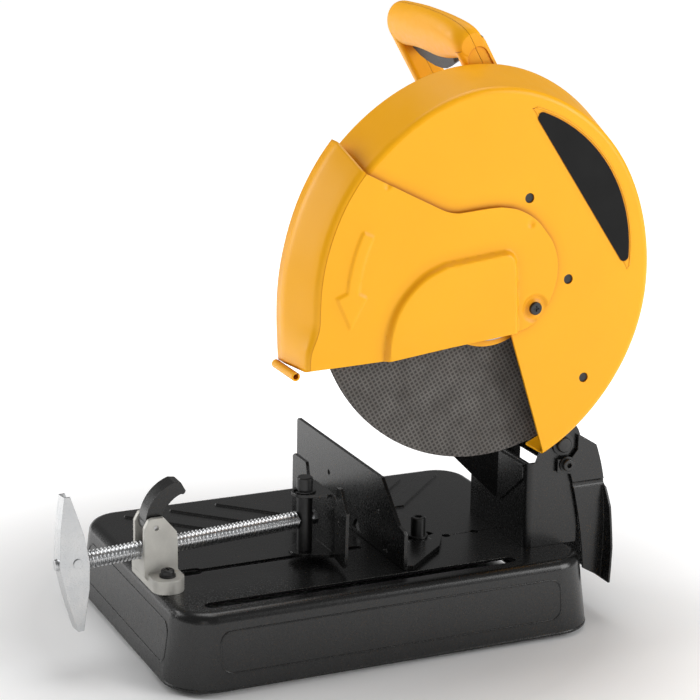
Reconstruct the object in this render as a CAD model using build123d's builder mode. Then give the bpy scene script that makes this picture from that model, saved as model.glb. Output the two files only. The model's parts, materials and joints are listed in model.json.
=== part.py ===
from build123d import *
import math
import os

os.makedirs("parts", exist_ok=True)

# An abrasive chop saw for steel stock, in millimetres.
# +X is the wheel side, -Y faces the operator, +Z is up and the floor is z = 0.
# Side profiles are drawn as (depth behind the base's front edge, height).

# ---- driving dimensions ----
base_front = -211.56         # Y of the base's front edge, so that the plan is centred
base_width = 320.0           # across the flat top
base_length = 450.0
base_flare = 10.0            # how far each wall leans out from top to bottom
base_top = 82.0              # height of the table
base_rim = 5.0               # height of the pan's bottom edge above the floor
base_corner = 36.0           # plan corner radius at the top
sheet = 2.5                  # base sheet thickness

pivot_d, pivot_z = 437.0, 192.6          # arm hinge: depth, height
spindle_d, spindle_z = 324.6, 378.8      # wheel spindle: depth, height
wheel_radius = 177.8                     # a 14 in wheel
wheel_width = 2.8
wheel_x = 133.3                          # inner face of the wheel
arbor_radius = 12.7                      # a 1 in arbor

gear_module = 2.0
pinion_teeth, gear_teeth = 12, 48
gear_distance = gear_module * (pinion_teeth + gear_teeth) / 2
motor_angle = 40.0                       # direction from spindle to motor axis
motor_d = spindle_d + gear_distance * math.cos(math.radians(motor_angle))
motor_z = spindle_z + gear_distance * math.sin(math.radians(motor_angle))
motor_radius = 52.0

vise_x = 51.0                            # X of the vise screw
vise_tilt = 2.8                          # the screw climbs towards the fence, degrees
pin_d, pin_z = 172.0, 125.1              # where the screw's axis meets the vise pin
screw_radius = 9.2
crank_lean = 7.0                         # how far the crank is turned from upright, degrees

fence_d = 252.0                          # face of the fence
fence_pivot = (-20.0, 290.0)             # plan position of the fence's pivot bolt
fence_clamp = (50.0, 303.0)              # plan position of its clamp bolt
gap = 0.3                                # clearance between pieces that move past each other
running = 0.05                           # radial clearance of a pin in its hole


# ---- planes ----
def side(x):
    """A plane facing +X at x: local axes are depth and height."""
    return Plane(origin=(x, base_front, 0), x_dir=(0, 1, 0), z_dir=(1, 0, 0))


def level(z):
    """A plane facing up at z: local axes are x and depth."""
    return Plane(origin=(0, base_front, z))


def facing(depth):
    """A plane facing the operator at a depth: local axes are x and height."""
    return Plane(origin=(0, base_front + depth, 0), x_dir=(1, 0, 0), z_dir=(0, -1, 0))


def about(cd, cz, radius, degrees):
    """A point on a side plane, by polar coordinates about (cd, cz)."""
    a = math.radians(degrees)
    return (cd + radius * math.cos(a), cz + radius * math.sin(a))


def spindle_polar(radius, degrees):
    return about(spindle_d, spindle_z, radius, degrees)


screw_dir = (0, math.cos(math.radians(vise_tilt)), math.sin(math.radians(vise_tilt)))
screw_up = (0, -screw_dir[2], screw_dir[1])


def across_screw(s):
    """A plane square to the vise screw, s along it from the vise pin."""
    origin = (vise_x, base_front + pin_d + s * screw_dir[1], pin_z + s * screw_dir[2])
    return Plane(origin=origin, x_dir=(1, 0, 0), z_dir=screw_dir)


handle_tilt = 30.0
handle_d, handle_z = 341.1, 592.0
_hc, _hs = math.cos(math.radians(handle_tilt)), math.sin(math.radians(handle_tilt))


def handle_plane(forward):
    """The plane of the D-handle, moved forward: local axes are x and up the handle."""
    origin = (0, base_front + handle_d - forward * _hc, handle_z - forward * _hs)
    return Plane(origin=origin, x_dir=(1, 0, 0), z_dir=(0, -_hc, -_hs))


# ---- base ----
with BuildPart() as base_core:
    with BuildSketch(level(base_rim)):
        with Locations((0, base_length / 2)):
            RectangleRounded(base_width + 2 * base_flare - 2 * sheet,
                             base_length + 2 * base_flare - 2 * sheet, base_corner + 10 - sheet)
    wall = math.degrees(math.atan(base_flare / (base_top - base_rim)))
    extrude(amount=base_top - base_rim - sheet, taper=wall)
    fillet(base_core.faces().sort_by(Axis.Z)[-1].edges(), 9)

rib_left, rib_right = -136.0, -50.0
front_ribs = (171, 223, 276)             # depth minus x of each front rib's near edge
rear_ribs = (211, 257)                   # depth plus x of each rear rib's near edge
rib_width = 28.0
rib_height = 2.0

with BuildPart() as base_pan:
    with BuildSketch(level(base_rim)):
        with Locations((0, base_length / 2)):
            RectangleRounded(base_width + 2 * base_flare, base_length + 2 * base_flare,
                             base_corner + 10)
    extrude(amount=base_top - base_rim, taper=wall)
    fillet(base_pan.faces().sort_by(Axis.Z)[-1].edges(), 11)
    add(base_core.part, mode=Mode.SUBTRACT)
    with BuildSketch(level(base_rim)):
        with Locations((0, base_length / 2)):
            RectangleRounded(base_width + 2 * base_flare, base_length + 2 * base_flare,
                             base_corner + 10)
            RectangleRounded(base_width + 2 * base_flare - 10, base_length + 2 * base_flare - 10,
                             base_corner + 5, mode=Mode.SUBTRACT)
    extrude(amount=2)
    for near in front_ribs:
        with BuildSketch(level(base_top)) as rib:
            Polygon((rib_left, near + rib_left), (rib_right, near + rib_right),
                    (rib_right, near + rib_right + rib_width),
                    (rib_left, near + rib_left + rib_width), align=None)
            fillet(rib.vertices(), 3)
        extrude(amount=rib_height, taper=30)
    for near in rear_ribs:
        with BuildSketch(level(base_top)) as rib:
            Polygon((rib_left, near - rib_left), (rib_right, near - rib_right),
                    (rib_right, near - rib_right + rib_width),
                    (rib_left, near - rib_left + rib_width), align=None)
            fillet(rib.vertices(), 3)
        extrude(amount=rib_height, taper=30)
    for outline in (((rib_left, 196), (rib_left, 322), (-73, 259)),
                    ((rib_right, 356), (-90, 396), (rib_right, 396))):
        with BuildSketch(level(base_top)) as rib:
            Polygon(*outline, align=None)
            fillet(rib.vertices(), 4)
        extrude(amount=rib_height, taper=30)
    with BuildSketch(level(base_top + 2)):
        with Locations((wheel_x + wheel_width / 2, 202.5)):
            SlotOverall(343, 14.5, rotation=90)
        with Locations((44, 140)):
            SlotOverall(200, 9, rotation=90)
        with Locations((44, 46)):
            SlotOverall(34, 18, rotation=90)
        with Locations((fence_pivot[0], fence_pivot[1]), (fence_clamp[0], fence_clamp[1]),
                       (47, 338), (47, 372)):
            Circle(4.6)
        with Locations((22, 12.6), (80, 12.6), (-5, 420), (100, 420)):
            Circle(3.2)
    extrude(amount=-8, mode=Mode.SUBTRACT)
    with BuildSketch(level(base_top + 0.1)):
        with Locations((47, 358)):
            Rectangle(1.4, 78)
    extrude(amount=-0.7, mode=Mode.SUBTRACT)
base_pan.part.label = "base_pan"
export_step(base_pan.part, "parts/base_pan.step")

foot_x, foot_front, foot_rear = 136.0, 24.0, 426.0

with BuildPart() as rubber_feet:
    with BuildSketch(level(0)):
        with Locations((-foot_x, foot_front), (foot_x, foot_front),
                       (-foot_x, foot_rear), (foot_x, foot_rear)):
            Circle(19)
    extrude(amount=base_rim + 7, taper=4)
    with BuildSketch(level(2)):
        with Locations((-foot_x, foot_front), (foot_x, foot_front),
                       (-foot_x, foot_rear), (foot_x, foot_rear)):
            Circle(5)
    extrude(amount=20, mode=Mode.SUBTRACT)
rubber_feet.part.label = "rubber_feet"
export_step(rubber_feet.part, "parts/rubber_feet.step")

with BuildPart() as foot_posts:
    with BuildSketch(level(2)):
        with Locations((-foot_x, foot_front), (foot_x, foot_front),
                       (-foot_x, foot_rear), (foot_x, foot_rear)):
            Circle(5)
    extrude(amount=base_top - sheet - 2)
foot_posts.part.label = "foot_posts"
export_step(foot_posts.part, "parts/foot_posts.step")

# ---- pivot bracket ----
bracket_left, bracket_right = -17.0, 113.0
bracket_front = 397.0
bracket_back = 458.0
bracket_sheet = 3.5
bracket_top = 175.0

with BuildPart() as pivot_bracket:
    with BuildSketch(level(base_top)) as channel:
        with Locations(((bracket_left + bracket_right) / 2, (bracket_front + bracket_back) / 2)):
            Rectangle(bracket_right - bracket_left, bracket_back - bracket_front)
        fillet(channel.vertices().group_by(Axis.Y)[0], 7)
        with Locations(((bracket_left + bracket_right) / 2,
                        (bracket_front + bracket_back) / 2 + bracket_sheet)):
            Rectangle(bracket_right - bracket_left - 2 * bracket_sheet,
                      bracket_back - bracket_front, mode=Mode.SUBTRACT)
    extrude(amount=140)
    with BuildSketch(side(bracket_left - 5)):
        with BuildLine():
            Polyline((bracket_front - 5, base_top - 1), (bracket_front - 5, bracket_top),
                     (bracket_front + 10, bracket_top),
                     about(pivot_d, pivot_z, 22, 160))
            ThreePointArc(about(pivot_d, pivot_z, 22, 160), about(pivot_d, pivot_z, 22, 80),
                          about(pivot_d, pivot_z, 22, 0))
            Polyline(about(pivot_d, pivot_z, 22, 0), (bracket_back + 5, 120),
                     (bracket_back + 5, base_top - 1), (bracket_front - 5, base_top - 1))
        make_face()
    extrude(amount=bracket_right - bracket_left + 10, mode=Mode.INTERSECT)
    with BuildSketch(level(base_top)):
        with Locations(((bracket_left + bracket_right) / 2, 425)):
            Rectangle(bracket_right - bracket_left - 2 * bracket_sheet, 50)
    extrude(amount=bracket_sheet)
    with BuildSketch(side(bracket_left - 1)):
        with Locations((pivot_d, pivot_z)):
            Circle(8 + running)
    extrude(amount=bracket_right - bracket_left + 2, mode=Mode.SUBTRACT)
    with BuildSketch(level(base_top - 1)):
        with Locations((-5, 420), (100, 420)):
            Circle(3.2)
    extrude(amount=10, mode=Mode.SUBTRACT)
pivot_bracket.part.label = "pivot_bracket"
export_step(pivot_bracket.part, "parts/pivot_bracket.step")

apron_centre = 52.0
apron_sheet = 2.0
apron_swing = math.tan(math.radians(20))

with BuildPart() as spark_apron:
    with BuildSketch(level(100)):
        left_x = -30.0
        forward = (apron_centre - left_x) * apron_swing
        Polygon((bracket_right - 8, bracket_front), (apron_centre, bracket_front),
                (left_x, bracket_front - forward),
                (left_x, bracket_front - forward - apron_sheet),
                (apron_centre, bracket_front - apron_sheet),
                (bracket_right - 8, bracket_front - apron_sheet), align=None)
    extrude(amount=100)
    with BuildSketch(facing(bracket_front + 2)) as apron_outline:
        Polygon((apron_centre - 4, 119.7), (apron_centre + 6, 119.7), (bracket_right - 8, 157),
                (bracket_right - 8, 172), (left_x, 172), (left_x, 160), align=None)
        fillet(apron_outline.vertices().group_by(Axis.Z)[0], 3)
    extrude(amount=60, mode=Mode.INTERSECT)
spark_apron.part.label = "spark_apron"
export_step(spark_apron.part, "parts/spark_apron.step")

with BuildPart() as bracket_bolts:
    with BuildSketch(level(base_top + bracket_sheet)):
        with Locations((-5, 420), (100, 420)):
            RegularPolygon(5.5, 6)
    extrude(amount=4.5)
    with BuildSketch(level(base_top + bracket_sheet)):
        with Locations((-5, 420), (100, 420)):
            Circle(3.2)
    extrude(amount=-(bracket_sheet + sheet))
    with BuildSketch(level(base_top - sheet)):
        with Locations((-5, 420), (100, 420)):
            RegularPolygon(5.5, 6)
    extrude(amount=-5)
bracket_bolts.part.label = "bracket_bolts"
export_step(bracket_bolts.part, "parts/bracket_bolts.step")

with BuildPart() as pivot_pin:
    with BuildSketch(side(bracket_left - 6)):
        with Locations((pivot_d, pivot_z)):
            Circle(8)
    extrude(amount=bracket_right - bracket_left + 12)
    chamfer(pivot_pin.edges().filter_by(GeomType.CIRCLE), 1)
pivot_pin.part.label = "pivot_pin"
export_step(pivot_pin.part, "parts/pivot_pin.step")

clip_offsets = (bracket_left - 2.4, bracket_right + 0.9)

with BuildPart() as pivot_clips:
    for x in clip_offsets:
        with BuildSketch(side(x)):
            with Locations((pivot_d, pivot_z)):
                Circle(12)
                Circle(8, mode=Mode.SUBTRACT)
        extrude(amount=1.5)
pivot_clips.part.label = "pivot_clips"
export_step(pivot_clips.part, "parts/pivot_clips.step")

# ---- spark deflector behind the bracket ----
deflector_pivot = (440.5, 171.4)
deflector_right = 134.0

with BuildPart() as spark_deflector:
    with BuildSketch(side(20)):
        with BuildLine():
            Line((474, 187.6), (475.5, 189))
            Spline((475.5, 189), (483, 165), (490.5, 114), (490, 38))
            Line((490, 38), (487.8, 38))
            Spline((487.8, 38), (488.3, 114), (481, 164), (474, 187.6))
        make_face()
    extrude(amount=deflector_right - 20)
    with BuildSketch(Plane(origin=(0, base_front + 440, 0), x_dir=(1, 0, 0), z_dir=(0, 1, 0))):
        Polygon((bracket_right + 4.5, -200), (bracket_right + 4.5, -152), (bracket_right + 16, -122),
                (deflector_right - 3, -100), (deflector_right + 1, -70), (deflector_right + 1, -20),
                (deflector_right + 9, -20), (deflector_right + 9, -200), align=None)
    extrude(amount=80, mode=Mode.SUBTRACT)
    with BuildSketch(side(bracket_right + 1.9)):
        with BuildLine():
            Polyline((430, 163), (430, 177), (446, 177), (453.5, 186), (453.5, 201.5),
                     (475.5, 189))
            Spline((475.5, 189), (483, 165), (490.5, 114), (490, 38))
            Polyline((490, 38), (466, 52))
            Spline((466, 52), (458, 110), (446, 160))
            Polyline((446, 160), (430, 163))
        make_face()
        with Locations(deflector_pivot):
            Circle(4 + running, mode=Mode.SUBTRACT)
    extrude(amount=2.6)
    with BuildSketch(side(20)):
        with BuildLine():
            Line((470, 186), (475.5, 189))
            Spline((475.5, 189), (483, 165), (490.5, 114), (490, 38))
            Line((490, 38), (478, 60))
            Spline((478, 60), (474, 110), (470, 186))
        make_face()
    extrude(amount=2.2)
    with BuildSketch(Plane(origin=(60, base_front + 440, 147), x_dir=(1, 0, 0), z_dir=(0, 1, 0))):
        with Locations((-30, 0), (30, 0), (61, 0)):
            Circle(5)
    extrude(amount=80, mode=Mode.SUBTRACT)
spark_deflector.part.label = "spark_deflector"
export_step(spark_deflector.part, "parts/spark_deflector.step")

with BuildPart() as deflector_bolt:
    with BuildSketch(side(bracket_right)):
        with Locations(deflector_pivot):
            Circle(4)
    extrude(amount=4.8)
    with BuildSketch(side(bracket_right + 4.8)):
        with Locations(deflector_pivot):
            Circle(8.5)
    extrude(amount=1.4)
    with BuildSketch(side(bracket_right + 6.2)):
        with Locations(deflector_pivot):
            Circle(6.5)
            RegularPolygon(3, 6, mode=Mode.SUBTRACT)
    extrude(amount=4.2)
    fillet(deflector_bolt.edges().filter_by(GeomType.CIRCLE).sort_by(Axis.X)[-1], 1.2)
deflector_bolt.part.label = "deflector_bolt"
export_step(deflector_bolt.part, "parts/deflector_bolt.step")

# ---- nut block at the front of the base ----
ear_inner, ear_outer = 11.6, 17.0        # distances of the ears' faces from the screw's X
lever_pivot = (5.4, 143.0)

with BuildPart() as nut_block:
    with BuildSketch(level(base_top)):
        with Locations((vise_x, 12.6)):
            SlotCenterToCenter(58, 33)
    extrude(amount=14)
    with BuildSketch(side(vise_x - ear_outer)) as ear:
        Polygon((-7, 92), (-7, 143), (-2.5, 151.5), (1.5, 153), (13.6, 153), (26.8, 137),
                (27.8, 132), (27.8, 88), (22, 84), (0, 84), align=None)
        fillet(ear.vertices().group_by(Axis.Z)[-1], 3)
    extrude(amount=2 * ear_outer)
    with BuildSketch(side(vise_x - ear_inner)):
        with Locations((10, 140)):
            Rectangle(50, 48)
    extrude(amount=2 * ear_inner, mode=Mode.SUBTRACT)
    with BuildSketch(across_screw(-200)):
        Circle(screw_radius + 0.6)
    extrude(amount=80, mode=Mode.SUBTRACT)
    with BuildSketch(side(vise_x - ear_outer - 1)):
        with Locations(lever_pivot):
            Circle(2.6)
    extrude(amount=2 * ear_outer + 2, mode=Mode.SUBTRACT)
    with BuildSketch(level(base_top - 1)):
        with Locations((vise_x - 29, 12.6), (vise_x + 29, 12.6)):
            Circle(3.2)
    extrude(amount=20, mode=Mode.SUBTRACT)
nut_block.part.label = "nut_block"
export_step(nut_block.part, "parts/nut_block.step")

with BuildPart() as block_screws:
    places = ((vise_x - 29, 12.6), (vise_x + 29, 12.6))
    with BuildSketch(level(base_top - 6)):
        with Locations(*places):
            Circle(3.2)
    extrude(amount=20)
    with BuildSketch(level(base_top + 14)):
        with Locations(*places):
            Circle(8.2)
    extrude(amount=2)
    with BuildSketch(level(base_top + 16)):
        with Locations(*places):
            Circle(6.8)
    extrude(amount=5.5)
    fillet(block_screws.edges().filter_by(GeomType.CIRCLE).group_by(Axis.Z)[-1], 2)
    with BuildSketch(level(base_top + 18.7)):
        with Locations(*places):
            Rectangle(7.5, 1.6)
            Rectangle(1.6, 7.5)
    extrude(amount=4, mode=Mode.SUBTRACT)
block_screws.part.label = "block_screws"
export_step(block_screws.part, "parts/block_screws.step")

with BuildPart() as lever_pin:
    with BuildSketch(side(vise_x - ear_outer + 2.5)):
        with Locations(lever_pivot):
            Circle(2.6)
    extrude(amount=2 * ear_outer - 5)
lever_pin.part.label = "lever_pin"
export_step(lever_pin.part, "parts/lever_pin.step")

with BuildPart() as release_lever:
    with BuildSketch(side(vise_x - 10)) as blade:
        with BuildLine():
            ThreePointArc((-3.2, 148), (5, 170), (27, 186))
            Polyline((27, 186), (34, 185), (39, 176), (37.5, 172), (34, 173))
            ThreePointArc((34, 173), (22, 165), (13.5, 148))
            Polyline((13.5, 148), (-3.2, 148))
        make_face()
        fillet(blade.vertices().sort_by(Axis.Z)[-3:], 2.5)
        with Locations(lever_pivot):
            Circle(9.5)
            Circle(2.6 + running, mode=Mode.SUBTRACT)
    extrude(amount=20)
release_lever.part.label = "release_lever"
export_step(release_lever.part, "parts/release_lever.step")

with BuildPart() as half_nut:
    with BuildSketch(side(vise_x - 8)):
        with Locations((lever_pivot[0] + 4.5, lever_pivot[1] - 15)):
            Rectangle(9, 16)
        with Locations(lever_pivot):
            Circle(9.5, mode=Mode.SUBTRACT)
    extrude(amount=16)
    with BuildSketch(across_screw(-200)):
        Circle(screw_radius + 0.4)
    extrude(amount=80, mode=Mode.SUBTRACT)
half_nut.part.label = "half_nut"
export_step(half_nut.part, "parts/half_nut.step")

# ---- vise: screw, crank, pin and jaw ----
crank_hub = -245.4                       # along the screw from the vise pin
crank_half_width = 10.0
crank_sheet = 2.0
_lean = math.radians(crank_lean)
crank_side = (math.cos(_lean), screw_up[1] * math.sin(_lean), screw_up[2] * math.sin(_lean))


def crank_plane(offset):
    """A plane along the crank, offset sideways: local axes are along the screw and up the crank."""
    base = across_screw(crank_hub).origin
    origin = base + Vector(*crank_side) * offset
    return Plane(origin=origin, x_dir=screw_dir, z_dir=crank_side)


with BuildPart() as vise_screw:
    with BuildSketch(across_screw(crank_hub + 12.4)):
        Circle(screw_radius)
    extrude(amount=-crank_hub - 12.4 - 9)
    with BuildSketch(across_screw(crank_hub - 12)):
        Circle(7.6)
    extrude(amount=24.4)
    with BuildSketch(crank_plane(-20)):
        Circle(3)
    extrude(amount=40, mode=Mode.SUBTRACT)
    with BuildSketch(across_screw(-9)):
        Circle(5)
    extrude(amount=22)
    chamfer(vise_screw.edges().filter_by(GeomType.CIRCLE).group_by(Axis.Y)[-1], 0.8)
vise_screw.part.label = "vise_screw"
export_step(vise_screw.part, "parts/vise_screw.step")

with BuildPart() as screw_retainer:
    with BuildSketch(across_screw(8.6)):
        RegularPolygon(7.5, 6)
        Circle(5, mode=Mode.SUBTRACT)
    extrude(amount=4.2)
screw_retainer.part.label = "screw_retainer"
export_step(screw_retainer.part, "parts/screw_retainer.step")

crank_outline = [(-7, 68), (-1, 68), (9, 27), (12, 0), (9, -27), (-1, -68), (-7, -68),
                 (-14, -36), (-19, 0), (-14, 36)]

with BuildPart() as crank:
    with BuildSketch(crank_plane(-crank_half_width)):
        Polygon(*crank_outline, align=None)
    extrude(amount=2 * crank_half_width)
    with BuildSketch(crank_plane(-crank_half_width + crank_sheet)):
        # the channel's floor is the sheet's thickness behind its front, and its ends are open
        channel = [(s + (1 if s > -6 else 3.4 if s > -8 else 2.4), t * 1.2 if abs(t) > 60 else t)
                   for s, t in crank_outline]
        Polygon(*channel, align=None)
    extrude(amount=2 * (crank_half_width - crank_sheet), mode=Mode.SUBTRACT)
    with BuildSketch(across_screw(crank_hub - 17)):
        Circle(6.5)
    extrude(amount=-4, taper=15)
    with BuildSketch(crank_plane(-20)):
        Circle(3)
    extrude(amount=40, mode=Mode.SUBTRACT)
crank.part.label = "crank"
export_step(crank.part, "parts/crank.step")

with BuildPart() as crank_rivet:
    with BuildSketch(crank_plane(-crank_half_width)):
        Circle(3)
    extrude(amount=2 * crank_half_width)
    for offset in (-crank_half_width - 1.6, crank_half_width):
        with BuildSketch(crank_plane(offset)):
            Circle(4.8)
        extrude(amount=1.6)
crank_rivet.part.label = "crank_rivet"
export_step(crank_rivet.part, "parts/crank_rivet.step")

pin_radius = 8.25
pin_bottom, pin_top = 87.5, 170.7
lower_ear, upper_ear = 88.5, 151.5       # undersides of the jaw's two ears
jaw_sheet = 3.5
jaw_d = 195.0

with BuildPart() as vise_pin:
    with BuildSketch(level(pin_bottom)):
        with Locations((vise_x, pin_d)):
            Circle(pin_radius)
    extrude(amount=pin_top - pin_bottom)
    chamfer(vise_pin.edges().filter_by(GeomType.CIRCLE), 1.2)
    with BuildSketch(level(upper_ear + jaw_sheet + 0.5)):
        with Locations((vise_x, pin_d)):
            Circle(pin_radius + 1)
            Circle(7.2, mode=Mode.SUBTRACT)
    extrude(amount=1.3, mode=Mode.SUBTRACT)
    with BuildSketch(across_screw(-12)):
        Circle(5 + running)
    extrude(amount=24, mode=Mode.SUBTRACT)
vise_pin.part.label = "vise_pin"
export_step(vise_pin.part, "parts/vise_pin.step")

with BuildPart() as pin_clip:
    with BuildSketch(level(upper_ear + jaw_sheet + 0.5)):
        with Locations((vise_x, pin_d)):
            Circle(11.5)
            Circle(7.2, mode=Mode.SUBTRACT)
            with Locations((0, -9)):
                Rectangle(7, 9, mode=Mode.SUBTRACT)
    extrude(amount=1.3)
pin_clip.part.label = "pin_clip"
export_step(pin_clip.part, "parts/pin_clip.step")

with BuildPart() as vise_jaw:
    with BuildSketch(level(88)):
        Polygon((-35, jaw_d), (76, jaw_d), (116, jaw_d - 5.6), (116, jaw_d - 5.6 + jaw_sheet),
                (76, jaw_d + jaw_sheet), (-35, jaw_d + jaw_sheet), align=None)
    extrude(amount=90)
    with BuildSketch(facing(jaw_d + 20)):
        Polygon((-35, 88), (-35, 164), (-31, 167), (-1, 167), (1, 163), (4, 152), (72, 152),
                (76, 149), (82, 166), (93, 168), (116, 149), (113.5, 94), (107, 88), align=None)
        with Locations((89, 131)):
            Circle(3, mode=Mode.SUBTRACT)
    extrude(amount=40, mode=Mode.INTERSECT)
    for ear_z, ear_radius, left, right in ((upper_ear, 13.5, 24, 70), (lower_ear, 16, 27, 77)):
        with BuildSketch(level(ear_z)):
            with Locations((vise_x, pin_d)):
                Circle(ear_radius)
            Polygon((vise_x - ear_radius, pin_d), (vise_x + ear_radius, pin_d),
                    (right, jaw_d - 6), (right, jaw_d + 1), (left, jaw_d + 1), (left, jaw_d - 6),
                    align=None)
            with Locations((vise_x, pin_d)):
                Circle(pin_radius + running, mode=Mode.SUBTRACT)
        extrude(amount=jaw_sheet)
vise_jaw.part.label = "vise_jaw"
export_step(vise_jaw.part, "parts/vise_jaw.step")

# ---- fence ----
fence_sheet = 4.0
fence_foot = base_top + 0.4
over_ribs = base_top + rib_height + 0.4
slot_radius = math.dist(fence_pivot, fence_clamp)
slot_angle = math.degrees(math.atan2(fence_clamp[1] - fence_pivot[1],
                                     fence_clamp[0] - fence_pivot[0]))


def around_fence(radius, degrees):
    return about(fence_pivot[0], fence_pivot[1], radius, degrees)


with BuildPart() as fence:
    with BuildSketch(facing(fence_d)):
        Polygon((-157, over_ribs), (-157, 161), (-154.5, 163.3), (64, 163.3), (105.8, 125),
                (119, 123.5), (122, 119), (122, fence_foot), (86, fence_foot), (77, 98),
                (70, fence_foot), (26, fence_foot), (14, 89), (7, 99), (1, 97),
                (-6, over_ribs), align=None)
        with Locations((-68, 127), (58.8, 126)):
            Circle(3, mode=Mode.SUBTRACT)
    extrude(amount=-fence_sheet)
    with BuildSketch(level(fence_foot)):
        Polygon((-10, fence_d), (119, fence_d), (125, 262), (82, 312.6), (60, 326), (40, 334),
                (-25, 318), (-44, 303), (-47, 283), align=None)
        with Locations(fence_pivot):
            Circle(4 + running, mode=Mode.SUBTRACT)
    extrude(amount=4.6)
    with BuildSketch(level(fence_foot)):
        with BuildLine():
            a0, a1 = slot_angle - 28, slot_angle + 15
            inner, outer = slot_radius - 4.5, slot_radius + 4.5
            am = (a0 + a1) / 2
            ThreePointArc(around_fence(inner, a0), around_fence(inner, am),
                          around_fence(inner, a1))
            Line(around_fence(inner, a1), around_fence(outer, a1))
            ThreePointArc(around_fence(outer, a1), around_fence(outer, am),
                          around_fence(outer, a0))
            Line(around_fence(outer, a0), around_fence(inner, a0))
        make_face()
    extrude(amount=10, mode=Mode.SUBTRACT)
fence.part.label = "fence"
export_step(fence.part, "parts/fence.step")

bolt_places = (fence_pivot, fence_clamp)
bolt_seat = fence_foot + 4.6 + gap

with BuildPart() as fence_bolts:
    with BuildSketch(level(base_top - 12)):
        with Locations(*bolt_places):
            Circle(4)
    extrude(amount=bolt_seat + 2 - base_top + 12)
    with BuildSketch(level(bolt_seat)):
        with Locations(*bolt_places):
            Circle(10.5)
    extrude(amount=2)
    with BuildSketch(level(bolt_seat + 2)):
        with Locations(*bolt_places):
            Circle(7.7)
    extrude(amount=20)
    chamfer(fence_bolts.edges().filter_by(GeomType.CIRCLE).group_by(Axis.Z)[-1], 1)
    with BuildSketch(level(bolt_seat + 22)):
        with Locations(*bolt_places):
            RegularPolygon(4.4, 6)
    extrude(amount=-7, mode=Mode.SUBTRACT)
fence_bolts.part.label = "fence_bolts"
export_step(fence_bolts.part, "parts/fence_bolts.step")

with BuildPart() as fence_nuts:
    with BuildSketch(level(base_top - sheet)):
        with Locations(*bolt_places):
            RegularPolygon(7.5, 6)
            Circle(4, mode=Mode.SUBTRACT)
    extrude(amount=-6.5)
fence_nuts.part.label = "fence_nuts"
export_step(fence_nuts.part, "parts/fence_nuts.step")

# ---- arm: pivot boss, web and gear case in one casting ----
case_left, case_right = 38.0, 92.0
case_cavity = 58.0
web_skin = 7.0                           # wall of the casting
motor_at = (motor_d, motor_z)
spindle_at = (spindle_d, spindle_z)
pivot_at = (pivot_d, pivot_z)
boss_left = 20.0
screw_root = 1.9
cover_screw_places = [spindle_polar(54.5, a) for a in (150, 200, 250, 295)]
cover_screw_places += [about(motor_d, motor_z, 53, a) for a in (-20, 40, 100)]

with BuildPart() as arm:
    with BuildSketch(side(boss_left)):
        with Locations(pivot_at):
            Circle(25)
    extrude(amount=107 - boss_left)
    with BuildSketch(side(case_left)):
        Polygon(about(pivot_d, pivot_z, 24, 183), about(pivot_d, pivot_z, 24, 20),
                about(motor_d, motor_z, 56, 5), about(spindle_d, spindle_z, 56, 200),
                about(spindle_d, spindle_z, 56, 235), align=None)
        with Locations(pivot_at):
            Circle(25)
    extrude(amount=case_right - case_left)
    with BuildSketch(side(case_left)):
        with Locations(spindle_at):
            Circle(57)
        with Locations(motor_at):
            Circle(56)
        make_hull()
    extrude(amount=case_right - case_left)
    with BuildSketch(side(case_cavity)):
        with Locations(spindle_at):
            Circle(52)
        with Locations(motor_at):
            Circle(18)
        make_hull()
    extrude(amount=case_right - case_cavity, mode=Mode.SUBTRACT)
    with BuildSketch(side(case_left - 1)):
        with Locations(pivot_at):
            Circle(8 + running)
    extrude(amount=120, both=True, mode=Mode.SUBTRACT)
    with BuildSketch(side(46)):
        with Locations(spindle_at):
            Circle(17.5)
    extrude(amount=20, mode=Mode.SUBTRACT)
    with BuildSketch(side(case_left - 1)):
        with Locations(motor_at):
            Circle(9)
    extrude(amount=30, mode=Mode.SUBTRACT)
    with BuildSketch(side(41)):
        with Locations(motor_at):
            Circle(14)
    extrude(amount=30, mode=Mode.SUBTRACT)
    lock_at = spindle_polar(34, 250)
    with BuildSketch(side(case_left - 1)):
        with Locations(lock_at):
            Circle(3.5 + gap)
    extrude(amount=30, mode=Mode.SUBTRACT)
    with BuildSketch(side(case_right)):
        with Locations(*cover_screw_places):
            Circle(screw_root)
    extrude(amount=-10, mode=Mode.SUBTRACT)
    # the web is hollow behind its outer skin
    with BuildSketch(side(case_left)) as pocket:
        Polygon((417, 219), (446, 226), (426, 366), (410, 362), (367, 325), (322, 314), align=None)
        fillet(pocket.vertices(), 6)
    extrude(amount=case_right - web_skin - case_left, mode=Mode.SUBTRACT)
arm.part.label = "arm"
export_step(arm.part, "parts/arm.step")

nose_radius = 41.7

with BuildPart() as gear_case_cover:
    with BuildSketch(side(case_right)):
        with Locations(spindle_at):
            Circle(57)
        with Locations(motor_at):
            Circle(56)
        make_hull()
    extrude(amount=6)
    with BuildSketch(side(case_right + 6)):
        with Locations(spindle_at):
            Circle(nose_radius)
    extrude(amount=19)
    with BuildSketch(side(100)):
        with Locations(spindle_at):
            Circle(23.5)
    extrude(amount=14, mode=Mode.SUBTRACT)
    with BuildSketch(side(case_right - 1)):
        with Locations(spindle_at):
            Circle(16)
        with Locations(*cover_screw_places):
            Circle(screw_root)
    extrude(amount=30, mode=Mode.SUBTRACT)
gear_case_cover.part.label = "gear_case_cover"
export_step(gear_case_cover.part, "parts/gear_case_cover.step")

with BuildPart() as arm_spring:
    with BuildSketch(side(bracket_left + bracket_sheet + 1)):
        with Locations(pivot_at):
            Circle(17.5)
            Circle(12.5, mode=Mode.SUBTRACT)
    extrude(amount=boss_left - bracket_left - bracket_sheet - 2)
arm_spring.part.label = "arm_spring"
export_step(arm_spring.part, "parts/arm_spring.step")

# ---- motor ----
motor_left = -96.0
shell = 3.5

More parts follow.
